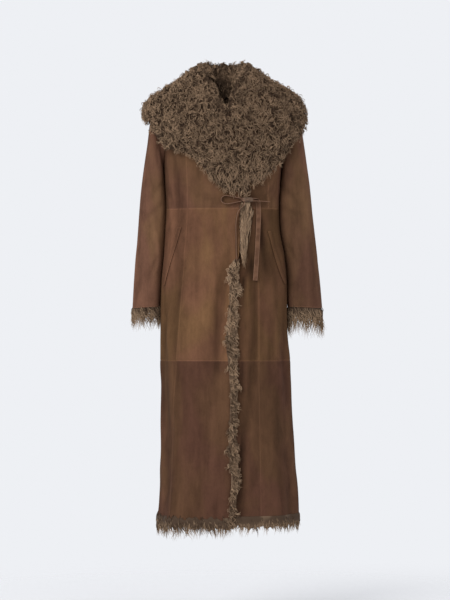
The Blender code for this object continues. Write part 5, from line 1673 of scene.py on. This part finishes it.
class COAT_OT_sleeves(bpy.types.Operator):
    """Make both sleeves and the wool that hangs out of their cuffs"""

    bl_idname = "coat.sleeves"
    bl_label = "Sleeves"

    def execute(self, context):
        suede, wool = context.scene.coat_suede, context.scene.coat_wool
        look = suede_look("suede_sleeves", suede.sleeves, suede, SLEEVE_PATCHES)
        inside = clipped_wool_look("clipped_wool_sleeves", wool.inside)
        locks = deep_wool_look("wool_cuffs", wool)
        sleeves = (
            ("right", -1, RIGHT_SLEEVE, RIGHT_SLEEVE_CREASES, RIGHT_CUFF, 31),
            ("left", 1, LEFT_SLEEVE, LEFT_SLEEVE_CREASES, LEFT_CUFF, 32),
        )
        for name, side, table, creases, hang, seed in sleeves:
            points, flat, marks = sleeve_form(side, table, creases)
            from_top = ease(points[..., 2], *SLEEVE_SHADE_HEIGHTS)
            # Painted light: the sleeves' outer and inner lines are lighter near the cuff, against the shade
            # of their round form.
            side_light = SLEEVE_SIDE_LIGHT[side > 0] * np.cos(round_turn(SLEEVE_COLUMNS)) ** 2 * from_top
            tone = PANEL_TONES.get(f"{name}_sleeve", 0.0) - side * SLEEVE_FADE * (from_top - 0.5) + side_light
            marks["worn"] = marks["worn"] + tone
            if side < 0:
                marks, points, flat = mirrored(marks, points, flat)
            obj = add_shell(f"{name}_sleeve_suede", points, [look, inside], SKIN_WALL, -1, True, marks)
            settle(obj, "suede", f"{name}_sleeve")
            ring, whole = (np.concatenate([grid, grid[:, :1]], 1) for grid in (points, flat))
            strip, base = cuff_strip(ring[:, ::-1])
            cuff = f"{name}_cuff"
            fringe = add_fringe(f"{cuff}_locks", strip, base, CUFF_WOOL.clumps, CUFF_WOOL, hang, locks, seed)
            settle(fringe, "curly_wool", f"{cuff}_wool")
        return {"FINISHED"}


class COAT_OT_collar(bpy.types.Operator):
    """Make the shawl collar's skin, its stand and the curls all over them"""

    bl_idname = "coat.collar"
    bl_label = "Collar"

    def execute(self, context):
        wool = context.scene.coat_wool
        base = clipped_wool_look("collar_ground", scaled(wool.inside, 1.1))
        locks = wool_look("wool_collar", wool.root, wool.tip, wool)
        # Painted light: the neck's copy of the wool has tips 1.15 times lighter, to lift the shade inside the
        # neck.
        neck_wool_lifted = wool_look("wool_neck", wool.root, scaled(wool.tip, 1.15), wool)
        halves = (
            ("collar_right", -180 + COLLAR_SEAM, 32, RIGHT_ROLL, RIGHT_RIM, 41),
            ("collar_left", 7, 180 - COLLAR_SEAM, LEFT_ROLL, LEFT_RIM, 51),
        )
        strips = []
        for name, start, end, roll, rim, seed in halves:
            upper = np.linspace(start, end, 160)
            strips.append(roll_strip(upper[smooth(upper, roll, "height") > ROLL_WOOL_LOW], roll))
            bearing = np.linspace(start, end, round((end - start) / COLLAR_CELL))
            grid = collar_points(bearing, roll, rim, COLLAR_ROWS)
            shell = add_shell(f"{name}_skin", grid[:, ::-1], [base], COLLAR_WALL, 1)
            settle(shell, "curly_wool", name)
            middle = len(bearing) // 2
            raised = grid + COLLAR_ROOTS * grid_normals(grid)
            stretches = {"a": raised[:, : middle + 1], "b": raised[:, middle:]}
            for number, (letter, part) in enumerate(stretches.items()):
                piece = add_collar_wool(f"{name}_locks_{letter}", part, locks, seed + number)
                settle(piece, "curly_wool")
        stand = stand_points(100, 14)
        shell = add_shell("collar_stand_skin", stand, [neck_wool_lifted], COLLAR_WALL, -1)
        settle(shell, "neck_wool", "collar_stand")
        inner = stand - STAND_ROOTS * grid_normals(stand)
        stretches = [(inner[::-1], STAND_CLUMPS)]
        for part in (NECK_SEAM, BELOW_NECK):
            bearing = np.linspace(part.start, part.end, 40)[None, :]
            height = np.linspace(part.top, part.low, part.rows)[:, None]
            stretches.append((body_surface(bearing, height, -part.depth), part.clumps))
        piece = settle(add_neck_wool("neck_locks", stretches, neck_wool_lifted, 61), "neck_wool")
        rim = settle(add_roll_wool("roll_locks", strips, locks, 65), "curly_wool")
        return {"FINISHED"}


class COAT_OT_trim(bpy.types.Operator):
    """Make the wool at the hem and at the front edge"""

    bl_idname = "coat.trim"
    bl_label = "Hem and edge wool"

    def execute(self, context):
        wool = context.scene.coat_wool
        locks = wool_look("wool_trim", wool.trim_root, wool.trim_tip, wool)
        deep = deep_wool_look("wool_hem", wool)
        edge = RIGHT_EDGE[0].x
        edge_bearing = float(bearing_at(edge, HEM_HEIGHT))
        stretches = (
            ("right_hem", -89.8, edge_bearing, True, RIGHT_HEM, 71),
            ("back_hem", 90.2, 269.8, None, BACK_HEM, 72),
            ("left_hem", edge_bearing - 2, 89.8, False, LEFT_HEM, 73),
        )
        for (name, start, end, is_right, hang, seed), run in zip(stretches, HEM_CLUMP_RUNS):
            strip = hem_strip(start, end, edge, is_right, *HEM_ROOTS)
            base = hem_base(start, end, edge, is_right)
            count = round(run_along(strip, 1)[0, -1] / run)
            piece = add_fringe(f"{name}_locks", strip, base, count, HEM_WOOL, hang, deep, seed)
            settle(piece, "curly_wool", f"{name}_wool")
        settle(add_edge_wool("front_edge_locks", locks, 74), "curly_wool", "front_edge_wool")
        settle(add_tongue("front_edge_tongue", locks, 75), "curly_wool")
        return {"FINISHED"}


class COAT_OT_pockets(bpy.types.Operator):
    """Make the welts of the two slanted pockets"""

    bl_idname = "coat.pockets"
    bl_label = "Pocket welts"

    def execute(self, context):
        suede = context.scene.coat_suede
        look = suede_look("suede_welts", scaled(suede.skirt, 0.86), suede)
        for welt in WELTS:
            points, marks = welt_form(welt)
            obj = add_shell(f"{welt.name}_suede", points, [look], WELT_WALL, 1, attributes=marks)
            settle(obj, "suede_deep", welt.name)
        return {"FINISHED"}


class COAT_OT_tie(bpy.types.Operator):
    """Make the waist lace: two cords that meet in a half bow's knot"""

    bl_idname = "coat.tie"
    bl_label = "Waist lace"

    def execute(self, context):
        colour = context.scene.coat_suede.lace
        look = lace_look("lace", colour)
        knot_look = lace_look("lace_knot", scaled(colour, 0.9, 1.15, 1.35))
        knot = settle(add_knot("tie_knot_wrap", knot_look), "suede", "tie_knot")
        left_route = LEFT_LEAD + BOW_LOOP + LEFT_TAIL
        laces = (
            ("right_lace", RIGHT_LEAD + RIGHT_TAIL, ("tie_right_lead", "tie_right_tail"), [knot]),
            ("left_lace", left_route, ("tie_left_lead", "tie_bow", "tie_left_tail"), []),
        )
        for name, route, nodes, with_pieces in laces:
            obj, line = add_lace(name, route, look)
            settle(obj, "suede", *nodes)
        return {"FINISHED"}


class COAT_OT_stage(bpy.types.Operator):
    """Make the floor, the light and the camera"""

    bl_idname = "coat.stage"
    bl_label = "Stage"

    def execute(self, context):
        stage = context.scene.coat_stage
        world = bpy.data.worlds.new("studio")
        world.use_nodes = True
        world.node_tree.nodes["Background"].inputs["Color"].default_value = (*stage.background, 1)
        context.scene.world = world
        context.scene.view_settings.view_transform = "Standard"
        turn = round_turn(FLOOR_COLUMNS)
        rings = np.array(FLOOR_RINGS)[:, None]
        height = stage.floor_height + 0 * rings * turn
        points = np.stack([rings * np.cos(turn), rings * np.sin(turn), height], -1).reshape(-1, 3)
        faces = [grid_faces(len(rings), len(turn), True)[:, ::-1], np.arange(len(turn))[None, :]]
        add_object("floor", points, faces, [floor_look("floor", tuple(stage.floor))])
        add_light(KEY, stage.key_power)
        add_light(FILL, stage.fill_power)
        camera = bpy.data.cameras.new("camera")
        camera.lens = CAMERA_LENS
        holder = linked("camera", camera)
        holder.location = (0, -CAMERA_DISTANCE, CAMERA_HEIGHT)
        holder.rotation_euler = (math.pi / 2, 0, 0)
        context.scene.camera = holder
        return {"FINISHED"}


class COAT_PT_panel(bpy.types.Panel):
    """The coat's pieces and settings"""

    bl_label = "Shearling Coat"
    bl_idname = "COAT_PT_panel"
    bl_space_type = "VIEW_3D"
    bl_region_type = "UI"
    bl_category = "Coat"

    def draw(self, context):
        for operator in OPERATORS:
            self.layout.operator(operator.bl_idname)
        for name, group in GROUPS.items():
            box = self.layout.box()
            for key in group.__annotations__:
                box.prop(getattr(context.scene, name), key)


OPERATORS = (
    COAT_OT_stage, COAT_OT_tie, COAT_OT_panels, COAT_OT_sleeves, COAT_OT_collar, COAT_OT_trim,
    COAT_OT_pockets,
)
GROUPS = {"coat_suede": CoatSuedeSettings, "coat_wool": CoatWoolSettings, "coat_stage": CoatStageSettings}


def register():
    for key, group in GROUPS.items():
        bpy.utils.register_class(group)
        setattr(bpy.types.Scene, key, bpy.props.PointerProperty(type=group))
    for item in (*OPERATORS, COAT_PT_panel):
        bpy.utils.register_class(item)


def unregister():
    for item in reversed((*OPERATORS, COAT_PT_panel)):
        bpy.utils.unregister_class(item)
    for key, group in reversed(GROUPS.items()):
        delattr(bpy.types.Scene, key)
        bpy.utils.unregister_class(group)


def main():
    register()
    for operator in OPERATORS:
        group, name = operator.bl_idname.split(".")
        getattr(getattr(bpy.ops, group), name)()


if __name__ == "__main__":
    main()
